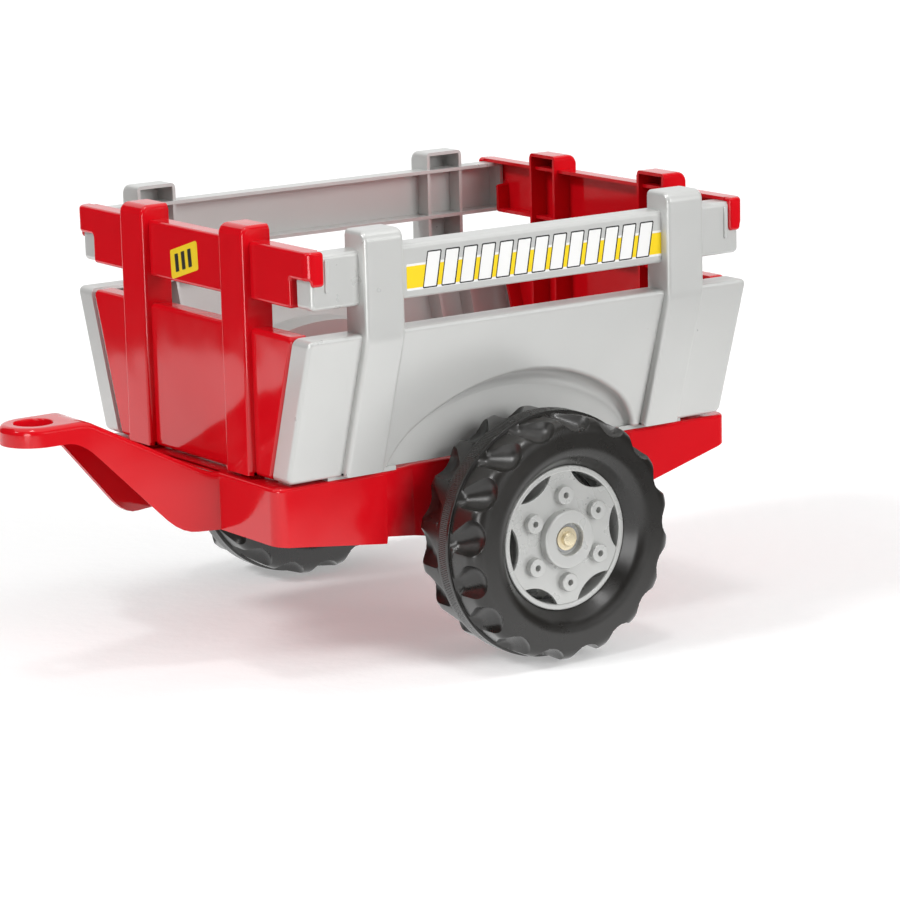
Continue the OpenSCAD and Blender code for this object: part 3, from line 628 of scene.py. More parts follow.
# %% Bend a flat part round the corners
BOARD_X, BOARD_Y, BELT_R, HOOK_RETURN = 223.5, 187.3, 9.0, 7.0
belt_straight = BOARD_Y - BELT_R
belt_turned = belt_straight + BELT_R * math.pi / 2
belt_end = belt_turned + HOOK_RETURN
CENTRE_GAP = 0.4


def mesh_arrays(mesh):
    """The points and faces of a mesh."""
    points = np.empty(len(mesh.vertices) * 3)
    mesh.vertices.foreach_get("co", points)
    return points.reshape(-1, 3), [list(face.vertices) for face in mesh.polygons]


def cut_across(part, places):
    """A flat part, cut across at u = each of the places, so that it can bend there."""
    sheet = bmesh.new()
    mesh = bpy.data.meshes.new("belt")
    mesh.from_pydata(part[0].tolist(), [], part[1])
    sheet.from_mesh(mesh)
    for u in places:
        everything = sheet.verts[:] + sheet.edges[:] + sheet.faces[:]
        bmesh.ops.bisect_plane(sheet, geom=everything, plane_co=(u, 0, 0), plane_no=(1, 0, 0), dist=1e-4)
    sheet.to_mesh(mesh)
    sheet.free()
    cut = mesh_arrays(mesh)
    bpy.data.meshes.remove(mesh)
    return cut


def round_the_box(part):
    """Bends u round the box's corners: straight, then an arc of x = r cos t, y = r sin t, then straight back.

    From the arc on, nothing reaches deeper than almost the arc's centre, so that nothing folds over.
    """
    points, faces = part
    u, v, w = points.T
    along, side = np.abs(u), np.sign(u)
    w = np.where(along > belt_straight - 0.1, np.maximum(w, CENTRE_GAP - BELT_R), w)
    t = np.clip((along - belt_straight) / BELT_R, 0, math.pi / 2)
    r = BELT_R + w
    x = BOARD_X - BELT_R + r * np.cos(t) - np.maximum(along - belt_turned, 0)
    y = np.minimum(along, belt_straight) + r * np.sin(t)
    return np.stack([x, side * y, v], axis=-1), faces


print("the belt is", round(2 * belt_end), "mm long before it bends")


# %% [markdown]
# ## The belt
# The belt is about 15 mm deep between its notches and along its upper edge. At the hooks it is a plain plate, because
# there it has to pass outside the rail. One more cut lies just before the bend, where the depth starts to be held back.

# %% The top of a board
HOOK_LIFT, BELT_OVER, HOOK_FROM_TOP, TONGUE_FROM_TOP = 0.3, 3.3, 23.5, 28.5
NOTCH_IN, TONGUE_WIDTH, BELT_DEPTH, HOOK_THICK = 25.0, 6.5, 15.5, 4.5
BELT_EDGE, BELT_CORNER = 3.0, 3.2
BENDS, BEFORE_BEND = 8, 0.5


def top_board():
    """The belt, cut and bent: deep between the notches and along its upper edge, thin at the hooks."""
    low, high = rail_z0 + HOOK_LIFT, rail_z1 + BELT_OVER
    hook, tongue = high - HOOK_FROM_TOP, high - TONGUE_FROM_TOP
    notch, step = RAIL_Y - NOTCH_IN, belt_turned - TONGUE_WIDTH
    right = [(notch, low, BELT_CORNER), (notch, hook, 2.5), (step, hook, 2), (step, tongue, BELT_CORNER),
             (belt_end, tongue, BELT_CORNER), (belt_end, high, 3.5)]
    path = outline(right + [(-u, v, r) for u, v, r in right[::-1]], run=16.0)
    u, v = path[0].T
    at_hook = (np.abs(u) > notch + 0.5) & (v <= high - BELT_EDGE)
    flat = tray(path, as_drawn, BELT_EDGE, np.where(at_hook, HOOK_THICK, BELT_DEPTH), WALL)
    bends = np.append(np.linspace(belt_straight, belt_turned, BENDS), belt_straight - BEFORE_BEND)
    return round_the_box(cut_across(flat, [*-bends, *bends]))


belt = top_board()
print("the belt has", len(belt[0]), "points")


# %% [markdown]
# ## A whole board
# Below the belt comes a lower panel that widens upwards with the lean of the sides, and two posts tie both together.
# Each post ends in a peg, which drops into a slot of the deck. That is why a board lifts straight out.

# %% Shape of a board
BOARD_POST_SPAN, BOARD_POST_X, BOARD_POST_DEPTH = 161.0, 230.5, 27.0
BOARD_LIFT, SIDE_GAP, BOARD_CORNER, BOARD_DEPTH = 0.3, 2.7, 5, 16.0
PEG_X0, PEG_X1, PEG_HALF, PEG_LENGTH = 211.5, 220.5, 12, 12


def end_board():
    """All parts of the front board: a lower panel that widens upwards, the belt, two posts and two pegs."""
    z0 = panel_z0 + BOARD_LIFT
    low, high = side_face(z0) - FLANGE - SIDE_GAP, side_face(panel_z1) - FLANGE - SIDE_GAP
    corners = [(-low, z0), (low, z0), (high, panel_z1), (-high, panel_z1)]
    lower = tray(outline([(y, z, BOARD_CORNER) for y, z in corners]), facing_front(BOARD_X + 1.0), PANEL_EDGE,
                 BOARD_DEPTH, WALL)
    back_x, y = BOARD_POST_X - BOARD_POST_DEPTH, BOARD_POST_SPAN / 2
    side_view = [(BOARD_POST_X, z0, 0.5), (BOARD_POST_X, post_top, POST_TOP_R), (back_x, post_top, 0.5),
                 (back_x, z0, 0.5)]
    upright = post(side_view, lambda z: back_x + 0 * z, lambda u, v, w: np.stack([w, u, v], axis=-1))
    peg = block((PEG_X0, y - PEG_HALF, deck_z - PEG_LENGTH), (PEG_X1, y + PEG_HALF, z0 + 3))
    left = joined(moved(upright, y=y), peg)
    return joined(lower, belt, left, turned(left, y=-1))


board = end_board()
print("a board has", len(board[0]), "points")


# %% [markdown]
# ## The red chassis
# The chassis is an upturned tray. Its outline steps in at each side to clear the wheels, and its skirt is not equally
# deep all round: it deepens towards the wheels and drops to the axle, so the tray gets a depth for each of its points.

# %% Deck and skirt
CHASSIS_HALF, CHASSIS_SIDE, CHASSIS_WALL, CHASSIS_EDGE, CHASSIS_CORNER = 235.0, 147.0, 3.5, 3.0, 12
STEP_X, STEP_R, BAY_X, BAY_R, BAY_SIDE = 128, 5, 93, 8, 135.0
REAR_SKIRT, REAR_OUTER, REAR_BAY, FRONT_BAY, FRONT_OUTER, FRONT_SKIRT = 25, 54, 48, 55, 61, 48.0
AXLE_AHEAD, AXLE_BOSS = 3.0, 14.0


def skirt_depth(x):
    """Depth of the skirt below the deck at a distance x from the middle, as straight lines between its corners."""
    at_axle = deck_z - (axle_z - AXLE_BOSS)
    bay, outer = STEP_X - 0.4, STEP_X + 0.4
    at = [-CHASSIS_HALF, -outer, -bay, AXLE_AHEAD - AXLE_BOSS, AXLE_AHEAD + AXLE_BOSS, bay, outer, CHASSIS_HALF]
    return np.interp(x, at, [REAR_SKIRT, REAR_OUTER, REAR_BAY, at_axle, at_axle, FRONT_BAY, FRONT_OUTER, FRONT_SKIRT])


def chassis_tray():
    """The deck and its skirt."""
    front = [(BAY_X, -BAY_SIDE, BAY_R), (STEP_X, -CHASSIS_SIDE, STEP_R), (CHASSIS_HALF, -CHASSIS_SIDE, CHASSIS_CORNER)]
    right = [(-x, y, r) for x, y, r in front[::-1]] + front
    path = outline(right + [(x, -y, r) for x, y, r in right[::-1]], turn_step=7.5, run=9.0)
    return tray(path, facing_up(deck_z), CHASSIS_EDGE, skirt_depth(path[0][:, 0]), CHASSIS_WALL)


print("the skirt is", round(float(skirt_depth(AXLE_AHEAD)), 1), "mm deep at the axle")


# %% [markdown]
# ## Slots, ribs and bearings
# The deck has four slots for the boards' pegs, each with a box under it. A Boolean takes the slots out of the tray
# once, and its result is kept as plain arrays. The ribs and the axle's bearings only have to touch the tray, so they
# stay separate shells. Slot and box take their size from the peg and a clearance.

# %% Under the deck
PEG_PLAY, SOCKET_WALL, RIB_HALF, RIB_DEPTH, SUNK = 0.4, 2.5, 1.25, 16, 0.5
RIBS_ACROSS, RIBS_ALONG = (-125.0, -62.5, 62.5, 125.0), (-56.0, 56.0)
BEARING_Y, BORE_R, TUBE_R, TUBE_Y0, TUBE_Y1 = 116.5, 5.1, 9, 113, 138


def cut_out(part, tools):
    """A closed part with closed tools taken out of it."""
    kept, cutter = [placed("cut", points.tolist(), faces) for points, faces in (part, tools)]
    for made in (kept, cutter):
        turn_outwards(made.data)
    less = kept.modifiers.new("less", "BOOLEAN")
    less.operation, less.solver, less.object = "DIFFERENCE", "EXACT", cutter
    bpy.context.view_layer.update()
    result = mesh_arrays(kept.evaluated_get(bpy.context.evaluated_depsgraph_get()).to_mesh())
    for made in (kept, cutter):
        bpy.data.meshes.remove(made.data)
    return result


def beside_peg(grow):
    """The lowest and highest x and y round the left front peg, grown by a distance."""
    y = BOARD_POST_SPAN / 2
    return (PEG_X0 - grow, y - PEG_HALF - grow), (PEG_X1 + grow, y + PEG_HALF + grow)


def deck_ribs():
    """Stiffening ribs under the deck, across and along."""
    top = deck_z - CHASSIS_WALL + SUNK
    side, end = BAY_SIDE - 2, CHASSIS_HALF - 2
    boxes = [(x - RIB_HALF, -side, x + RIB_HALF, side) for x in RIBS_ACROSS]
    boxes += [(-end, y - RIB_HALF, end, y + RIB_HALF) for y in RIBS_ALONG]
    return joined(*[block((x0, y0, top - RIB_DEPTH), (x1, y1, top), 0.2) for x0, y0, x1, y1 in boxes])


def axle_bearing():
    """A plate on the inside and a tube through the bay's wall, which hold the axle on the left."""
    x0, x1 = AXLE_AHEAD - AXLE_BOSS, AXLE_AHEAD + AXLE_BOSS
    low, high = axle_z - AXLE_BOSS, deck_z - 2
    wall = plate(outline([(x0, low, 13.5), (x1, low, 13.5), (x1, high, 1), (x0, high, 1)]), facing_side(BEARING_Y), 0.5,
                 CHASSIS_WALL)
    chamfered = [(BORE_R, TUBE_Y0), (TUBE_R - 0.6, TUBE_Y0), (TUBE_R, TUBE_Y0 + 0.6), (TUBE_R, TUBE_Y1 - 0.6),
                 (TUBE_R - 0.6, TUBE_Y1), (BORE_R + 0.5, TUBE_Y1), (BORE_R, TUBE_Y1 - 0.5)]
    tube = revolved(chamfered, 48, lambda x, z, y: np.stack([AXLE_AHEAD + x, y, axle_z + z], axis=-1))
    return joined(wall, tube)


def peg_socket():
    """A box under the deck, open above, which takes a board's peg."""
    low, high = beside_peg(PEG_PLAY + SOCKET_WALL)
    floor_z = deck_z - PEG_LENGTH - 2
    return tray(outline(box_corners(*low, *high, 3), run=60.0),
                lambda u, v, w: np.stack([u, v, floor_z - w], axis=-1), 0.5, 12.5, SOCKET_WALL, steps=3)


slot_low, slot_high = beside_peg(PEG_PLAY)
slotted = cut_out(chassis_tray(), four_ways(block((*slot_low, deck_z - 9), (*slot_high, deck_z + 4))))
print("the slotted tray has", len(slotted[0]), "points")


# %% [markdown]
# ## The drawbar's lines
# The drawbar swings up from the chassis to a tongue with the hitch eye in it. Seen from the side, its top and its
# underside are two lines that rise from the chassis to the tongue, each straight with a bend at both ends. Writing
# them as functions of x lets the skin, the ribs and the hollow below share them.

# %% Top and underside of the drawbar
TONGUE_Z, TONGUE_DEPTH, TONGUE_HALF, EYE_R, COLLAR_R = 220.0, 16.0, 28.5, 16.0, 20.0
DRAWBAR_LENGTH, ROOT_HALF, ROOT_INSIDE, SIDE_EDGE, EYE_EDGE = 169.0, 58.0, 11, 5.5, 1.5
BEND_X, BEND_LENGTH, ROOT_R, WAIST_R = 110.0, 10.0, 8, 60
UNDER_START, UNDER_RUN, UNDER_BEND = 20.0, 105.0, 26.0
eye_x = CHASSIS_HALF + DRAWBAR_LENGTH - TONGUE_HALF
tongue_low = TONGUE_Z - TONGUE_DEPTH


def ramp_up(u, b):
    """From 0 to 1, straight but for a bend of length b at each end: u^2 and 1 - (1 - u)^2 over 2 b (1 - b)."""
    u = np.clip(u, 0, 1)
    k = 1 / (2 * b * (1 - b))
    return np.select([u < b, u > 1 - b], [k * u ** 2, 1 - k * (1 - u) ** 2], k * b * (2 * u - b))


def bar_top(x):
    """Height of the top at x: the deck's, then a ramp to the tongue's."""
    return deck_z + (TONGUE_Z - deck_z) * ramp_up((x - CHASSIS_HALF) / BEND_X, BEND_LENGTH / BEND_X)


def bar_low(x):
    """Height of the side wall's lower edge at x: the front skirt's, then a ramp to the tongue's underside."""
    low = deck_z - FRONT_SKIRT
    rise = ramp_up((x - CHASSIS_HALF - UNDER_START) / UNDER_RUN, UNDER_BEND / UNDER_RUN)
    return low + (tongue_low - low) * rise


print("halfway up, the drawbar's top is at", round(float(bar_top(CHASSIS_HALF + BEND_X / 2)), 1))


# %% [markdown]
# ## The drawbar's skin
# The drawbar is one shell like the rest: a top plate, side walls, and a hollow from below. It is a grid with one
# column for each point of its plan. The rows run from the hole's edge out over the plate, round the edge, down the
# wall and back inside to the hole's collar, so the hole needs no cutting.

# %% Skin of the drawbar
def drawbar():
    """The skin as rows of (plan, height).

    A point of the top is (1 - t) * eye + t * edge in plan, where the eye's point lies in the direction of the
    edge's point, and its height is the top line's height at its x.
    """
    root = ROOT_HALF + ROOT_INSIDE * (ROOT_HALF - TONGUE_HALF) / BEND_X
    start, bend, tip = CHASSIS_HALF - ROOT_INSIDE, CHASSIS_HALF + BEND_X, eye_x + TONGUE_HALF
    right = [(start, -root, ROOT_R), (bend, -TONGUE_HALF, WAIST_R), (tip, -TONGUE_HALF, TONGUE_HALF - 0.1)]
    edge, normal = outline(right + [(x, -y, r) for x, y, r in right[::-1]], turn_step=5.0, run=7.0)
    towards = edge - [eye_x, 0]
    towards /= np.linalg.norm(towards, axis=1, keepdims=True)

    def around(r):
        return np.array([eye_x, 0]) + r * towards

    def spread(r, shares, drop):
        """Rows from the plan's inner edge, share 1, to the circle of radius r, share 0, below the top by a drop."""
        plans = [(1 - t) * around(r) + t * inside for t in shares]
        return [(plan, bar_top(plan[:, 0]) - drop) for plan in plans]

    inside = edge - SIDE_EDGE * normal
    under = bar_low(edge[:, 0])
    rows = [(around(EYE_R), tongue_low)]
    rows += [(around(EYE_R + step), TONGUE_Z - drop) for step, drop in zip(*edge_rows(EYE_EDGE, 4))]
    rows += spread(EYE_R + EYE_EDGE, np.linspace(0, 1, 30)[1:], 0.0)
    for step, drop in list(zip(*edge_rows(SIDE_EDGE, 8)))[-2::-1]:
        plan = edge - step * normal
        rows.append((plan, bar_top(plan[:, 0]) - drop))
    rows += [(edge, under), (edge - CHASSIS_WALL * normal, under)]
    rows += spread(COLLAR_R, np.linspace(1, 0, 14), CHASSIS_WALL)
    rows.append((around(COLLAR_R), tongue_low))
    grid = np.stack([np.column_stack([plan, np.broadcast_to(z, len(plan))]) for plan, z in rows])
    return grid.reshape(-1, 3), grid_quads(len(rows), len(edge), wrap_rows=True, wrap_columns=True)


bar = drawbar()
print("the drawbar has", len(bar[0]), "points")


# %% [markdown]
# ## The whole chassis
# Low ribs stiffen the drawbar's plate from below: one along it, which follows the plate as it rises, and two across.
# With them the chassis is complete, and its shells are joined into one part.

# %% Join the chassis
LOW_RIB = 9.0
CROSS_RIBS = ((38.5, 45.0), (82.5, 33.5))    # distance ahead of the chassis, and half the length


def drawbar_ribs():
    """One rib along the plate, four points to each cut at x, and two across."""
    x = np.linspace(CHASSIS_HALF - 5, eye_x - COLLAR_R + 1, 40)[:, None]
    side = RIB_HALF * np.array([-1, 1, 1, -1])[None, :]
    upper = np.array([0, 0, 1, 1])[None, :]
    z = bar_top(x) - CHASSIS_WALL + np.where(upper == 1, SUNK, -LOW_RIB)
    shells = [rings_part(np.stack([x + 0 * side, side + 0 * x, z], axis=-1))]
    for far, half in CROSS_RIBS:
        here = CHASSIS_HALF + far
        under = float(bar_top(here)) - CHASSIS_WALL
        shells.append(block((here, -half, under - LOW_RIB), (here + 2 * RIB_HALF, half, under + SUNK), 0.2))
    return joined(*shells)


bearing = axle_bearing()
chassis = joined(slotted, deck_ribs(), bearing, turned(bearing, y=-1), bar, drawbar_ribs(), four_ways(peg_socket()))
print("the chassis has", len(chassis[0]), "points")


# %% [markdown]
# ## Places on a wheel
# A wheel is worked out with its axis along its own third axis and its outer face upwards. Its place then turns it onto
# the axle. The right wheel is the left one, turned half a turn about the upright.

# %% Put a shape on the axle
def on_axle(side, along=wheel_y):
    """A place for wheel shapes: side is 1 on the left and -1 on the right."""
    return lambda x, y, a: np.stack([axle_x + side * x, side * (along + a), axle_z - y], axis=-1)


print("the right wheel's middle is", np.round(on_axle(-1)(0, 0, 0), 1))


# %% [markdown]
# ## The casing of the tyre
# A tractor tyre's tread is the skilled part of this toy. Its casing is a closed section turned about the axle: a raised
# band in the middle, a shoulder on each side, a dished side wall, and the inner wall, as the real one is hollow. Each
# corner has its own spacing of points, close where the tread will be cut and wide where nothing happens.

# %% Section of the tyre
TYRE_R, TYRE_HALF, BEAD_R, BAND_HALF = 105.0, 42.5, 59.2, 8.0
CROWN_R = TYRE_R - 2.2
LUGS = 17
WALL_MIDDLE_R, LOWEST_CUT_R = 82, 84

outer_side = [(CROWN_R, BAND_HALF, 0.4, 1.9), (CROWN_R, TYRE_HALF, 12, 1.2), (72.6, TYRE_HALF, 14, 2.5),
              (61.4, 27.0, 1.2, 4), (61.4, 24.4, 0.4, 4), (BEAD_R, 24.4, 0.6, 9)]
inner_side = [(BEAD_R, 17, 0.6, 9), (62.2, 17, 1, 9), (65.2, 25, 2, 12), (69.7, 34, 3, 12), (76.2, 39, 3, 12),
              (87.1, 39, 1, 12), (87.1, 35.5, 2, 12), (94, 7, 4, 12)]


def tyre_section():
    """The closed section as (radius, along), anticlockwise, and which of its points the tool may reach.

    A row above is (radius, along, corner radius, longest gap after it).
    """
    upper = [(TYRE_R, BAND_HALF, 0.7, 2.0)] + outer_side + inner_side
    lower = [(r, -a, round_r, gap) for r, a, round_r, gap in upper[::-1]]
    gaps = [row[3] for row in upper] + [row[3] for row in lower[1:]] + [4.0]
    points, normals = outline([row[:3] for row in upper + lower], turn_step=7.5, run=gaps)
    r, a = points.T
    outside = normals[:, 0] * (r - WALL_MIDDLE_R) + normals[:, 1] * a > 0
    return points, outside & (r > LOWEST_CUT_R) & (r < CROWN_R + 0.05)


section, reached = tyre_section()
print("tyre section", len(section), "rows, of which", int(reached.sum()), "can be cut")


# %% [markdown]
# ## The scooping tool
# Between every two lugs a slanting tool with round ends has scooped the shoulder away. It widens and sinks from the
# band to the side, as a cone between two balls does. A distance to such a tool is a short formula, and with it the
# shape needs no Boolean: a point is inside the tool where the distance is negative.

# %% Distance from the tool
# Ends of the tool's middle line as (tangential, radial, along), and its radius at each
scoop_from, from_r = np.array([-3.5, 106.5, 17.2]), 9.5
scoop_to, to_r = np.array([-10.2, 105.6, 36.0]), 15.5
half_pitch = math.pi / LUGS


def outside_scoop(r, a, angle):
    """Distance from the tool, a cone between two balls that touches both: h along its middle line, q beside it.

    With b the growth of the radius per length and c = sqrt(1 - b^2), the cone's part is c q - b h - r1, where
    b q + c h lies between 0 and c L. Before and behind that it is the distance from the nearer ball.
    """
    run = scoop_to - scoop_from
    length = math.sqrt(run @ run)
    spot = np.stack([r * np.sin(angle), r * np.cos(angle), a + 0 * angle])
    gone = spot - scoop_from.reshape(3, *[1] * (spot.ndim - 1))
    h = np.tensordot(run / length, gone, 1)
    q = np.sqrt(np.clip((gone ** 2).sum(axis=0) - h ** 2, 0, None))
    b = (to_r - from_r) / length
    c = math.sqrt(1 - b * b)
    where = b * q + c * h
    return np.select([where < 0, where > c * length], [np.hypot(q, h) - from_r, np.hypot(q, h - length) - to_r],
                     c * q - b * h - from_r)


def scoop_middle(a):
    """Angle of the tool's middle line at a distance a from the middle of the tread. It slants all the way out."""
    slope = (scoop_to[0] - scoop_from[0]) / (scoop_to[2] - scoop_from[2])
    return np.arctan2(scoop_from[0] + slope * (np.clip(a, BAND_HALF, scoop_to[2]) - scoop_from[2]), scoop_to[1])


print("a scoop slants by", round(math.degrees(float(scoop_middle(BAND_HALF) - scoop_middle(TYRE_HALF))), 1), "degrees")


# %% [markdown]
# ## Where a scoop's edges run
# The columns of the tyre's grid are warped so that two of them run exactly along the scoop's edges, which keeps those
# edges crisp with few points. The edge is found by halving, for every row of the section at once. Rows without a
# scoop, or with a narrow one, keep an even share of the pitch, smoothed into their neighbours.

# %% Edges of a scoop
IN_SCOOP, NARROW = 0.64, 0.34
KERNEL = np.array([1, 2, 3, 2, 1]) / 9


def scoop_edge(r, a, side):
    """Angle from the middle line to the scoop's edge on one side, by halving. It is 0 where there is no scoop."""
    low, high = np.zeros_like(r), np.full_like(r, half_pitch)
    for _ in range(24):
        middle = (low + high) / 2
        inside = outside_scoop(r, a, scoop_middle(a) + side * middle) < 0
        low, high = np.where(inside, middle, low), np.where(inside, high, middle)
    return low


def smooth_edge(side):
    """The edge's angle for every row. It stays at an even share of the pitch where the scoop is narrow or absent."""
    edge = np.where(reached, scoop_edge(section[:, 0], np.abs(section[:, 1]), side), 0.0)
    even = IN_SCOOP * half_pitch
    edge = np.where(edge > NARROW * half_pitch, edge, even)
    padded = np.concatenate([edge[-2:], edge, edge[:2]])
    return np.where(edge == even, np.convolve(padded, KERNEL, mode="valid"), edge)[:, None]


ahead, behind = smooth_edge(1), smooth_edge(-1)
print("the widest scoop takes", round(float((ahead + behind).max() / (2 * half_pitch)), 2), "of the pitch")


# %% [markdown]
# ## The lugged tyre
# Each point of the casing that the tool reached moves in along a straight line, aimed low into the wheel, until it
# leaves the tool. The aim matters: it has to cross the tool's wall steeply, or the scoop's round end comes out as a
# staircase. What is left standing between the scoops are the lugs.

# %% Cut the tyre
COLUMNS, SOFT = 30, 0.8
AIM = np.array([25.0, 18.0])
TREAD_TURN = math.radians(17.4)


def warped(r, a, far):
    """Angle of every point within its pitch, and how far the half of the tread it is on is turned.

    Over one pitch u runs from -1 to 1. A scoop's edges lie at u = -0.64 and 0.64 and the middle of a lug at u = 1.
    The far half of the tread is half a pitch further round.
    """
    u = (2 * np.arange(COLUMNS) / COLUMNS - 1)[None, :] + 0 * r
    later = np.where(u >= 0, 1, -1)
    turn = np.where(far, half_pitch * later, 0)
    u = np.where(far, u - later, u)
    knots = np.array([-1.0, -IN_SCOOP, 0.0, IN_SCOOP, 1.0])
    lug = (ahead - behind) / 2
    at_knots = np.concatenate([lug - half_pitch, -behind, 0 * lug, ahead, lug + half_pitch], axis=1)
    share = np.clip((u[..., None] - knots[:-1]) / np.diff(knots), 0, 1)
    return at_knots[:, :1] + (share * np.diff(at_knots, axis=1)[:, None, :]).sum(axis=-1) + scoop_middle(a), turn


def scooped(r, a, angle):
    """Radius and distance along of every point, after it has moved by its depth in the tool towards the aim.

    The depth d is found by stepping out of the tool. The move is (d + sqrt(d^2 + soft^2)) / 2, with d negative
    outside the tool, which rounds the scoop's edge a little.
    """
    start = np.stack([r + 0 * angle, a + 0 * angle])
    way = AIM[:, None, None] - start
    way = way / np.linalg.norm(way, axis=0)
    first = outside_scoop(start[0], start[1], angle)
    depth = np.zeros_like(angle)
    for _ in range(60):
        spot = start + depth * way
        depth += np.maximum(-outside_scoop(spot[0], spot[1], angle), 0)
    signed = np.where(first < 0, depth, -np.maximum(first, 0))
    return start + np.where(reached[:, None], (signed + np.sqrt(signed ** 2 + SOFT ** 2)) / 2, 0) * way


def tyre():
    """The tyre as a grid of the section's rows and LUGS * COLUMNS columns."""
    r, a = section[:, :1], np.abs(section[:, 1:])
    far = section[:, 1:] < 0
    angle, turn = warped(r, a, far)
    radius, along = scooped(r, a, angle)
    along = np.where(a < 0.01, 0, along * np.where(far, -1, 1))
    whole = TREAD_TURN + 2 * half_pitch * np.arange(LUGS)[:, None, None] + (angle + turn)[None]
    whole = whole.transpose(1, 0, 2).reshape(len(section), -1)
    radius, along = np.tile(radius, (1, LUGS)), np.tile(along, (1, LUGS))
    faces = grid_quads(len(section), LUGS * COLUMNS, wrap_rows=True, wrap_columns=True)
    return np.stack([radius * np.cos(whole), radius * np.sin(whole), along], axis=-1), faces


casing, casing_faces = tyre()
print("the tyre has", casing.shape[0] * casing.shape[1], "points")


# %% [markdown]
# ## The rim's disc
# The rim is a grey moulding that plugs into the tyre. Its disc has six lens-shaped windows. It is a grid from the
# centre out to an edge whose radius changes with the angle: the ring's radius, or less where a window bites into it.
# Extra columns stand close by the windows' corners, so that those stay sharp.

# %% Disc with windows
RING_IN, DISC_FACE, DISC_THICK, DISC_IN, DISC_EDGE = 56.3, 27.5, 3.0, 24.0, 0.9
WINDOW_HALF, WINDOW_SAG = 19.0, 6.0
WHEEL_TURN = math.radians(2.2)


def window_radius(angle):
    """Outer edge of the disc: a bite out of it wherever the bite's circle comes inside the ring.

    The near side of a circle at distance c, of radius b, seen at an angle t, is c cos t - sqrt(b^2 - c^2 sin^2 t).
    """
    half = math.radians(WINDOW_HALF)
    chord, reach = RING_IN * math.cos(half), RING_IN * math.sin(half)
    b = (reach ** 2 + WINDOW_SAG ** 2) / (2 * WINDOW_SAG)
    c = chord - WINDOW_SAG + b
    t = (angle + math.pi / 6) % (math.pi / 3) - math.pi / 6
    near = c * np.cos(t) - np.sqrt(np.clip(b ** 2 - (c * np.sin(t)) ** 2, 0, None))
    return np.where(np.abs(t) < half, near, RING_IN + 0.6)


def rim_disc(place):
    """The disc, with a small round along its windows' edges."""
    corners = WINDOW_HALF + np.array([-0.001, 0.001, -0.6, -1.4])
    t = np.sort(np.concatenate([np.linspace(-30, 30, 49)[:-1], -corners, corners]))
    t = np.radians(t[None, :] + 60 * np.arange(6)[:, None]).ravel()
    edge = window_radius(t)
    back = DISC_FACE - DISC_THICK
    rows = [(DISC_IN, back), (edge, back)]
    rows += [(edge - i, DISC_FACE - d) for i, d in zip(*edge_rows(DISC_EDGE, 4))]
    rows += [(DISC_IN + (edge - DISC_EDGE - DISC_IN) * s, DISC_FACE) for s in (0.75, 0.5, 0.25, 0.0)]
    radius = np.stack([np.broadcast_to(row[0], t.shape) for row in rows])
    along = np.array([row[1] for row in rows])[:, None] + 0 * t
    angle = (t + WHEEL_TURN)[None, :]
    grid = place(radius * np.cos(angle), radius * np.sin(angle), along)
    return grid.reshape(-1, 3), grid_quads(len(rows), len(t), wrap_rows=True, wrap_columns=True)


print("the disc has", len(rim_disc(as_drawn)[0]), "points")


# %% [markdown]
# ## Ring, centre, bosses and cap
# Round the disc runs a ring that grips the tyre's bead. In the middle stands a raised centre with a recess for the
# axle's cap, and six small bosses stand round it. All of these are turned shapes. The cap is pressed from thin sheet: a
# flange and a button with a rounded top, open towards the axle.

# %% Turned shapes of a wheel
RIM_FACE, RIM_R, RIM_BACK = 28.5, 61.3, 24.5
HUB_FACE, RECESS_FLOOR = 35.5, 28.5
BOSS_CIRCLE, BOSS_FACE = 37.5, 33.5
CAP_LIFT = 1.6


def outer_rim(place):
    """All parts of the rim's outer half."""
    ring = turned_section([(RING_IN, 4, 0.5), (59.1, 4, 0.5), (59.1, RIM_BACK, 0.3), (RIM_R, RIM_BACK, 0.5),
                           (RIM_R, RIM_FACE, 1.4), (RING_IN, RIM_FACE, 1.2)], 192, place)
    centre = turned_section([(8.2, 0.1, 0.4), (11.2, 0.1, 0.4), (11.2, 25.5, 1), (16.9, 25.5, 1), (16.9, 32.5, 1),
                             (22, 32.5, 1), (22, RIM_BACK, 1), (25, RIM_BACK, 0.5), (25, HUB_FACE, 1.8),
                             (13.9, HUB_FACE, 1.0), (13.9, RECESS_FLOOR, 0.8), (8.2, RECESS_FLOOR, 0.4)], 128, place)
    bosses = []
    for k in range(6):
        angle = WHEEL_TURN + math.radians(30 + 60 * k)
        x0, y0 = BOSS_CIRCLE * math.cos(angle), BOSS_CIRCLE * math.sin(angle)
        bosses.append(turned_section([(2.5, 24.6, 0.3), (8, 24.6, 0.3), (8, BOSS_FACE, 1.1), (2.5, BOSS_FACE, 0.7)], 48,
                                     lambda x, y, a, x0=x0, y0=y0: place(x + x0, y + y0, a)))
    return joined(ring, rim_disc(place), centre, *bosses)


def axle_cap(place):
    """The pressed cap on the axle's end: a flange and a button with a rounded top, open towards the axle."""
    return turned_section([(5.05, 0, 0.1), (10, 0, 0.5), (10, 1.2, 0.5), (6, 1.2, 0.5), (6, 6, 2.0), (0.02, 6, 0.005),
                           (0.02, 4.7, 0.005), (5.05, 4.7, 0.5)], 64, place, turn_step=22.5)


print("the rim has", len(outer_rim(as_drawn)[0]), "points and the cap", len(axle_cap(as_drawn)[0]))


# %% [markdown]
# ## Moulded plastic
# All the plastics here share a build-up: a colour with a faint cloudiness, a roughness that wanders a little as it
# does on any moulded face, a fine grain, and a slow waviness left by cooling, which bends the reflections in large
# flat faces. What sets them apart is how much of each they get. The silver is pigment in plastic, so it is only partly
# a metal. The tyre adds one thing of its own: fine teeth on its band, which follow the angle about the axle.

# %% Materials
CLOUD_SCALE, FINE_SCALE, SWELL_SCALE = 9.0, 60.0, 14.0
CLOUD_FROM, CLOUD_STEEP = 0.35, 1.6


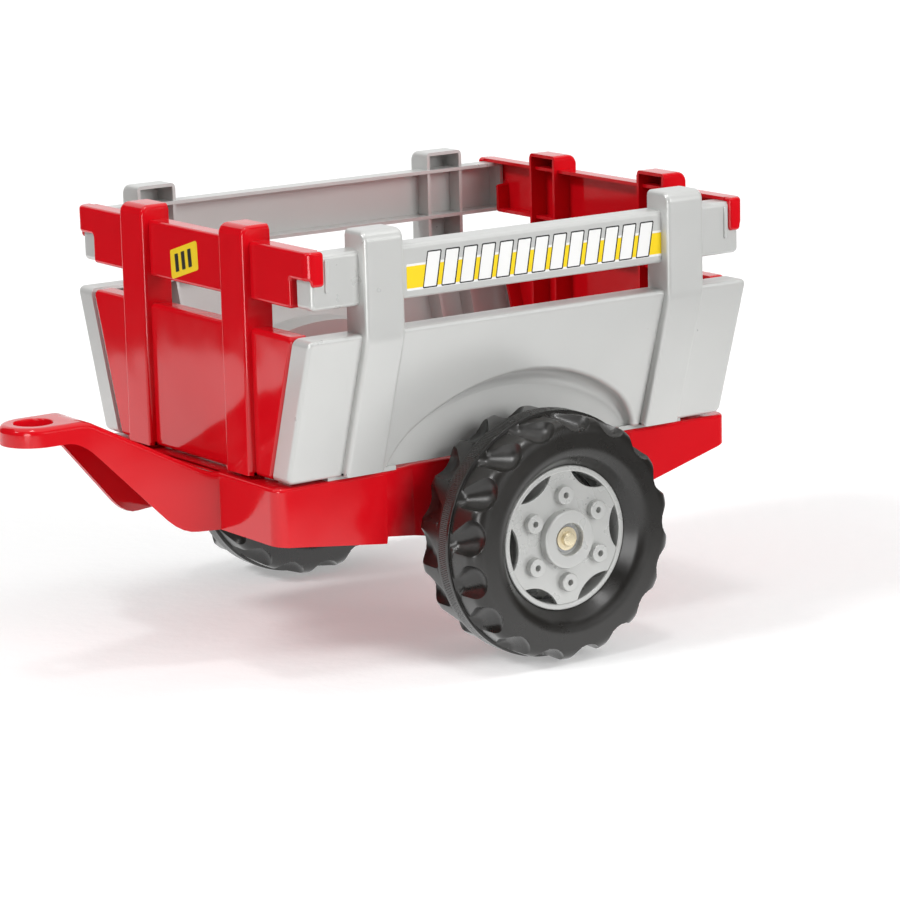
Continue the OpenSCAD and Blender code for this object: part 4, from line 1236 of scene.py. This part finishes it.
def moulded(name, colour, shade, rough, spread, grain_scale, grain, wave=0.0, metallic=0.0, shine=0.5, teeth=None):
    """A moulded plastic. The colour drifts to the shade, and the roughness by its spread, on two sizes of noise.

    wave and grain are heights in metres, and teeth is a function that adds one more relief.
    """
    material, wire, shader = new_material(name)
    cloud, fine = noise(wire, CLOUD_SCALE, 3.0), noise(wire, FINE_SCALE, 2.0)
    swell = relief(wire, noise(wire, SWELL_SCALE, 1.0), wave)
    rise = relief(wire, noise(wire, grain_scale, 2.0), grain, under=swell)
    wire.fill(shader, {
        "Base Color": mixed(wire, (cloud - CLOUD_FROM) * CLOUD_STEEP, (*colour, 1), (*shade, 1)),
        "Roughness": rough + (fine - 0.5) * spread + (cloud - 0.5) * spread,
        "Metallic": metallic,
        "Specular IOR Level": shine,
        "Normal": teeth(wire, rise) if teeth else rise,
    })
    return material


def band_teeth(wire, under, count=400, depth=0.00025, half=0.005):
    """Fine teeth in the middle of the tread's band: sin(count * angle about the axle), on the outermost radius."""
    x, y, z = apart(wire)
    x, z = x - axle_x * MM, z - axle_z * MM
    angle, out = wire.math("ARCTAN2", z, x), wire.math("SQRT", x * x + z * z)
    side = wire.math("ABSOLUTE", wire.math("ABSOLUTE", y) - wheel_y * MM)
    height = wire.math("SINE", angle * count) * out.above((TYRE_R - 0.6) * MM) * side.below(half)
    return relief(wire, height, depth, under=under)


red_gloss = moulded("red_plastic_gloss", (0.63, 0.0040, 0.010), (0.57, 0.003, 0.008), 0.11, 0.05, 700.0, 6e-6,
                    wave=0.0012)
silver_satin = moulded("silver_plastic_satin", (0.60, 0.605, 0.59), (0.555, 0.56, 0.55), 0.30, 0.08, 1400.0, 12e-6,
                       wave=0.0004, metallic=0.25)
rim_satin = moulded("grey_rim_plastic", (0.55, 0.555, 0.54), (0.50, 0.505, 0.495), 0.28, 0.08, 1200.0, 12e-6,
                    wave=0.0004, metallic=0.35)
black_matte = moulded("black_plastic_matte", (0.016, 0.016, 0.016), (0.022, 0.021, 0.020), 0.45, 0.12, 1500.0, 20e-6)
tyre_black = moulded("tyre_plastic", (0.012, 0.011, 0.0095), (0.018, 0.016, 0.014), 0.29, 0.10, 1100.0, 30e-6,
                     wave=0.0003, shine=0.65, teeth=band_teeth)
steel = moulded("bright_steel", (0.55, 0.56, 0.58), (0.48, 0.49, 0.51), 0.28, 0.12, 700.0, 10e-6, metallic=1.0)
brass = moulded("pressed_brass", (0.86, 0.76, 0.55), (0.80, 0.69, 0.47), 0.26, 0.12, 600.0, 10e-6, metallic=0.6)
for finish in (red_gloss, silver_satin, rim_satin, black_matte, tyre_black, steel, brass):
    print(finish.name, "has", len(finish.node_tree.nodes), "nodes")


# %% [markdown]
# ## Stickers
# A yellow band with white borders runs along each rail, under a row of slanted white bars with black outlines, and
# the front board carries a small yellow patch. Each colour is its own thin film, a few hundredths of a millimetre
# above the one below it, so the edges stay crisp from close by.

# %% Films
BAND_X0, BAND_X1, BAND_Z0, BAND_Z1, BAND_BORDER = -136.8, 126.8, 322.6, 344.6, 1.9
BARS, BAR_PITCH, BAR_WIDTH, BAR_Z0, BAR_Z1, OUTLINE = 13, 18.2, 12.2, 324.2, 352.4, 1.1
BORDER_UP, YELLOW_UP, OUTLINE_UP, BAR_UP = 0.06, 0.10, 0.14, 0.18
OUTLINE_LEANS, BAR_LEANS = -5.5, -5.2
PATCH_Y, PATCH_Z, PATCH_TURN, PATCH_WIDTH, PATCH_HALF = -4.5, 337.0, math.radians(17), 46, 12
MARKS_X, MARK_WIDTH, MARK_HALF = (-14, -3, 8), 6, 7.5


def film(corners, place, height):
    """A flat film with round corners, its face at a height above the surface that it sticks to."""
    path = outline(corners, turn_step=22.5, run=60.0)
    return plate(path, lambda u, v, w: place(u, v, w + height), 0.02, height + 0.05, steps=2)


def slanted(x, low, high, width, lean_over, radius):
    """The corners of an upright bar whose top is pushed sideways."""
    half = width / 2
    return [(x - half, low, radius), (x + half, low, radius), (x + half + lean_over, high, radius),
            (x - half + lean_over, high, radius)]


def rail_films():
    """The band and the bars of a side, as one part per colour: white, yellow, black."""
    place = facing_side(RAIL_Y)
    spots = (BAND_X0 + BAND_X1) / 2 + BAR_PITCH * (np.arange(BARS) - (BARS - 1) / 2)
    border = film(box_corners(BAND_X0, BAND_Z0, BAND_X1, BAND_Z1, 1.0), place, BORDER_UP)
    yellow = film(box_corners(BAND_X0, BAND_Z0 + BAND_BORDER, BAND_X1, BAND_Z1 - BAND_BORDER, 0.3), place,
                  YELLOW_UP)
    low, high, wide = BAR_Z0 - OUTLINE, BAR_Z1 + OUTLINE, BAR_WIDTH + 2 * OUTLINE
    black = [film(slanted(x, low, high, wide, OUTLINE_LEANS, 1.2), place, OUTLINE_UP) for x in spots]
    white = [film(slanted(x, BAR_Z0, BAR_Z1, BAR_WIDTH, BAR_LEANS, 0.5), place, BAR_UP) for x in spots]
    return joined(border, *white), yellow, joined(*black)


def patch_films():
    """The patch on the front board, turned a little, and three plain bars on it."""
    c, s = math.cos(PATCH_TURN), math.sin(PATCH_TURN)

    def place(u, v, w):
        return facing_front(BOARD_X)(PATCH_Y + u * c - v * s, PATCH_Z + u * s + v * c, w)

    ground = film(slanted(MARKS_X[1], -PATCH_HALF, PATCH_HALF, PATCH_WIDTH, 6, 2.5), place, 0.08)
    marks = [film(slanted(x, -MARK_HALF, MARK_HALF, MARK_WIDTH, 3, 0.8), place, 0.12) for x in MARKS_X]
    return ground, joined(*marks)


film_white, film_yellow, film_black = [
    moulded(name, colour, shade, 0.30, 0.05, 500.0, 4e-6) for name, colour, shade in (
        ("white_film", (0.80, 0.80, 0.79), (0.76, 0.76, 0.75)),
        ("yellow_film", (0.86, 0.62, 0.004), (0.82, 0.58, 0.003)),
        ("black_film", (0.012, 0.012, 0.012), (0.016, 0.016, 0.016)))]
print("the band is", BAND_X1 - BAND_X0, "mm long and carries", BARS, "bars")


# %% [markdown]
# ## Put the trailer together
# Each shape becomes a piece, rides on the body that carries it and stands in for its own node. The second side and the
# tailgate are the first ones mirrored.

# %% Pieces
piece("left_side_silver", left_side, "trailer", silver_satin, ["left_side_panel"])
piece("right_side_silver", turned(left_side, y=-1), "trailer", silver_satin, ["right_side_panel"])
piece("front_board_red", moved(board, body_x), "front_board", red_gloss, ["front_board"])
piece("tailgate_red", moved(turned(board, x=-1), body_x), "tailgate", red_gloss, ["tailgate"])
piece("chassis_red", moved(chassis, body_x), "trailer", red_gloss, ["chassis"])

for part, colour, finish in zip(patch_films(), ("yellow", "black"), (film_yellow, film_black)):
    piece("front_patch_film_" + colour, moved(part, body_x), "front_board", finish)

for side, word in ((1, "left"), (-1, "right")):
    for part, colour, finish in zip(rail_films(), ("white", "yellow", "black"), (film_white, film_yellow, film_black)):
        piece(word + "_rail_film_" + colour, moved(turned(part, y=side), body_x), "trailer", finish)
    place = on_axle(side)
    grid = place(casing[..., 0], casing[..., 1], casing[..., 2]).reshape(-1, 3)
    piece(word + "_tyre_lugged", (grid, casing_faces), word + "_wheel", tyre_black, [word + "_tyre"])
    piece(word + "_rim_dish", outer_rim(place), word + "_wheel", rim_satin, [word + "_outer_rim"])
    cap = axle_cap(on_axle(side, wheel_y + RECESS_FLOOR + CAP_LIFT))
    piece(word + "_axle_cap_brass", cap, "trailer", brass, [word + "_axle_cap"])


# %% [markdown]
# ## Finish the hidden pieces
# The axle, the rims' inner halves and the small parts round the axle keep the shapes they already have. They only get
# a real finish, in their own material slots.

# %% Finishes of the carried-over nodes
finishes = {"inner_rim": rim_satin, "hub_bush": black_matte, "spacer": black_matte, "washer": steel,
            "panel_screws": steel}
nodes = {word + name: finish for name, finish in finishes.items() for word in ("left_", "right_")}
nodes["axle_rod"] = steel
for name, finish in nodes.items():
    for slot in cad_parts[name].material_slots:
        slot.material = finish
print(len(nodes), "nodes keep their shape")


# %% [markdown]
# ## The room
# The trailer stands in a plain white room. The world is white to the camera and to mirrors, and lights the trailer
# less strongly than it looks, because the lamps below do most of the work.

# %% World
def emptied(owner):
    """The graph of a world or a material, with no node in it."""
    owner.use_nodes = True
    owner.node_tree.nodes.clear()
    return Wire(owner.node_tree)


def light_path(wire, *kinds):
    """1 for any of the named kinds of ray, else 0."""
    total, *others = [wire.node("ShaderNodeLightPath", output=kind) for kind in kinds]
    for other in others:
        total = wire.math("MAXIMUM", total, other)
    return total


def mixed_shaders(wire, factor, first, second):
    return wire.node("ShaderNodeMixShader", inputs={0: factor, 1: first, 2: second})


ROOM_LIGHT = 0.44
world = bpy.data.worlds.new("plain_room")
bpy.context.scene.world = world
sky = emptied(world)
lit, white = [sky.node("ShaderNodeBackground", inputs={"Color": grey(1), "Strength": strength})
              for strength in (ROOM_LIGHT, 1.0)]
shown = light_path(sky, "Is Camera Ray", "Is Glossy Ray", "Is Transmission Ray")
sky.node("ShaderNodeOutputWorld", inputs={"Surface": mixed_shaders(sky, shown, lit, white)})
print("the room lights at", ROOM_LIGHT)


# %% [markdown]
# ## White paper
# The floor is paper, a matt white that keeps the shadows. Seen by the camera it is a little whiter and has some glow
# mixed in, so that it runs into the room without an edge. In a mirror it is all glow, but dim to the left of the
# trailer and behind it, so that its glossy sides find something darker to mirror.

# %% Floor
def stage_piece(name, points, faces, material):
    """An object of the set, which is no part of the trailer."""
    made = placed(name, points, faces)
    made.data.materials.append(material)
    return made


PAPER, PAPER_SEEN, GLOW_SEEN, GLOW_MIRRORED, GLOW_DIMMED = 0.86, 1.08, 0.3, 1.2, 0.12
DIM_X, DIM_Y, DIM_FROM, DIM_STEEP = -0.57, 0.82, 0.5, 4.0
TOOTH_SCALE, TOOTH_HEIGHT, TOOTH_STRENGTH = 55.0, 0.002, 0.35
REACH = 12.0
paper = bpy.data.materials.new("white_paper")
wire = emptied(paper)
seen = light_path(wire, "Is Camera Ray")
mirrored = light_path(wire, "Is Glossy Ray", "Is Transmission Ray")
x, y, z = apart(wire)
dim = (y * DIM_Y + x * DIM_X - DIM_FROM) * DIM_STEEP
matt = wire.node("ShaderNodeBsdfDiffuse", inputs={
    "Color": mixed(wire, seen, grey(PAPER), grey(PAPER_SEEN)),
    "Normal": relief(wire, noise(wire, TOOTH_SCALE, 5.0), TOOTH_HEIGHT, strength=TOOTH_STRENGTH)})
glow = wire.node("ShaderNodeEmission", inputs={
    "Color": mixed(wire, mirrored, grey(1), mixed(wire, dim, grey(GLOW_MIRRORED), grey(GLOW_DIMMED))),
    "Strength": 1.0})
glowing = wire.math("MAXIMUM", mirrored, seen * GLOW_SEEN)
wire.node("ShaderNodeOutputMaterial", inputs={"Surface": mixed_shaders(wire, glowing, matt, glow)})
stage_piece("floor", [(-REACH, -REACH, 0), (REACH, -REACH, 0), (REACH, REACH, 0), (-REACH, REACH, 0)],
            [(0, 1, 2, 3)], paper)
print("the floor is", 2 * REACH, "m wide")


# %% [markdown]
# ## Cloth and window
# Glossy plastic only looks glossy where it has something dark to mirror as well, so a wall of black cloth hangs round
# the set, with a bright window in it that draws a line along every upright edge. Only reflections see them.

# %% Black cloth and a window
def cloth_bend(radius, low, high, start, end, count=48):
    """A curved wall of cloth from one direction round to another: (r cos t, r sin t) at its two edges."""
    t = np.radians(np.linspace(start, end, count))
    rim = np.stack([radius * np.cos(t), radius * np.sin(t)], axis=-1)
    points = np.concatenate([np.column_stack([rim, np.full(count, z)]) for z in (low, high)])
    return points.tolist(), grid_quads(2, count)


WINDOW_GLOW = 6.0
black_cloth, wire, shader = new_material("black_cloth")
wire.fill(shader, {"Base Color": grey(0.02), "Roughness": 1.0, "Specular IOR Level": 0.0})
window, wire, shader = new_material("window_light")
wire.fill(shader, {"Base Color": grey(0), "Specular IOR Level": 0.0, "Emission Color": grey(1),
                   "Emission Strength": WINDOW_GLOW})
for hanging in (stage_piece("cloth_round", *cloth_bend(1.5, 0.0, 2.0, -75, 185), black_cloth),
                stage_piece("window_glow", *cloth_bend(1.4, 0.02, 0.8, 26, 42), window)):
    hanging.visible_camera = hanging.visible_diffuse = False
    hanging.visible_shadow = hanging.visible_transmission = False
print("the window glows at", WINDOW_GLOW)


# %% [markdown]
# ## Lamps
# Four suns light the trailer evenly, so no lamp has a place of its own that could be wrong. A wide, soft one from the
# left side does the modelling, and three weaker ones from the front, the rear and above fill in. The softness sets how
# blurred a sun's shadow is.

# %% Suns
# Name: direction towards the sun, its strength, and its softness in degrees
SUNS = {"front_light": ((0.75, -0.12, 0.65), 1.25, 12),
        "rear_light": ((-0.70, 0.20, 0.68), 0.45, 14),
        "top_light": ((0.15, 0.15, 1.0), 0.45, 9),
        "broad_light": ((-0.28, 0.91, 0.30), 1.90, 36)}
for name, (towards, strength, softness) in SUNS.items():
    light = bpy.data.lights.new(name, "SUN")
    light.energy = strength
    light.angle = math.radians(softness)
    made = bpy.data.objects.new(name, light)
    bpy.context.scene.collection.objects.link(made)
    made.rotation_euler = Vector(towards).to_track_quat("Z", "Y").to_euler()
print(len(SUNS), "suns, together", sum(sun[1] for sun in SUNS.values()))


# %% [markdown]
# ## The camera
# The camera is a long lens, from the front left and a little above. Its axes are worked out from three angles, and its
# matrix is made of them.

# %% Camera
AZIMUTH, ELEVATION, ROLL = math.radians(145.41), math.radians(12.07), math.radians(-1.47)
FOCAL_PIXELS, FRAME_PIXELS, SENSOR_MM = 3734.22, 900, 36.0
CAMERA_AT = (1.71218, 2.66106, 0.82896)
back = Vector((math.sin(AZIMUTH) * math.cos(ELEVATION), -math.cos(AZIMUTH) * math.cos(ELEVATION),
               math.sin(ELEVATION)))
right = Vector((math.cos(AZIMUTH), math.sin(AZIMUTH), 0))
up = back.cross(right)
right_rolled = right * math.cos(ROLL) + up * math.sin(ROLL)
up_rolled = up * math.cos(ROLL) - right * math.sin(ROLL)

lens = bpy.data.cameras.new("camera")
lens.sensor_width = SENSOR_MM
lens.lens = SENSOR_MM * FOCAL_PIXELS / FRAME_PIXELS
lens.clip_end = 50.0
camera = bpy.data.objects.new("camera", lens)
bpy.context.scene.collection.objects.link(camera)
axes = Matrix((right_rolled, up_rolled, back)).transposed().to_4x4()
camera.matrix_world = Matrix.Translation(CAMERA_AT) @ axes
bpy.context.scene.camera = camera
bpy.context.scene.view_settings.view_transform = "Standard"
print("the lens is", round(lens.lens), "mm long")


# %% [markdown]
# ## Bring the scene up to date
# Last, the scene is updated, so that every piece sits where its body puts it.


bpy.context.view_layer.update()
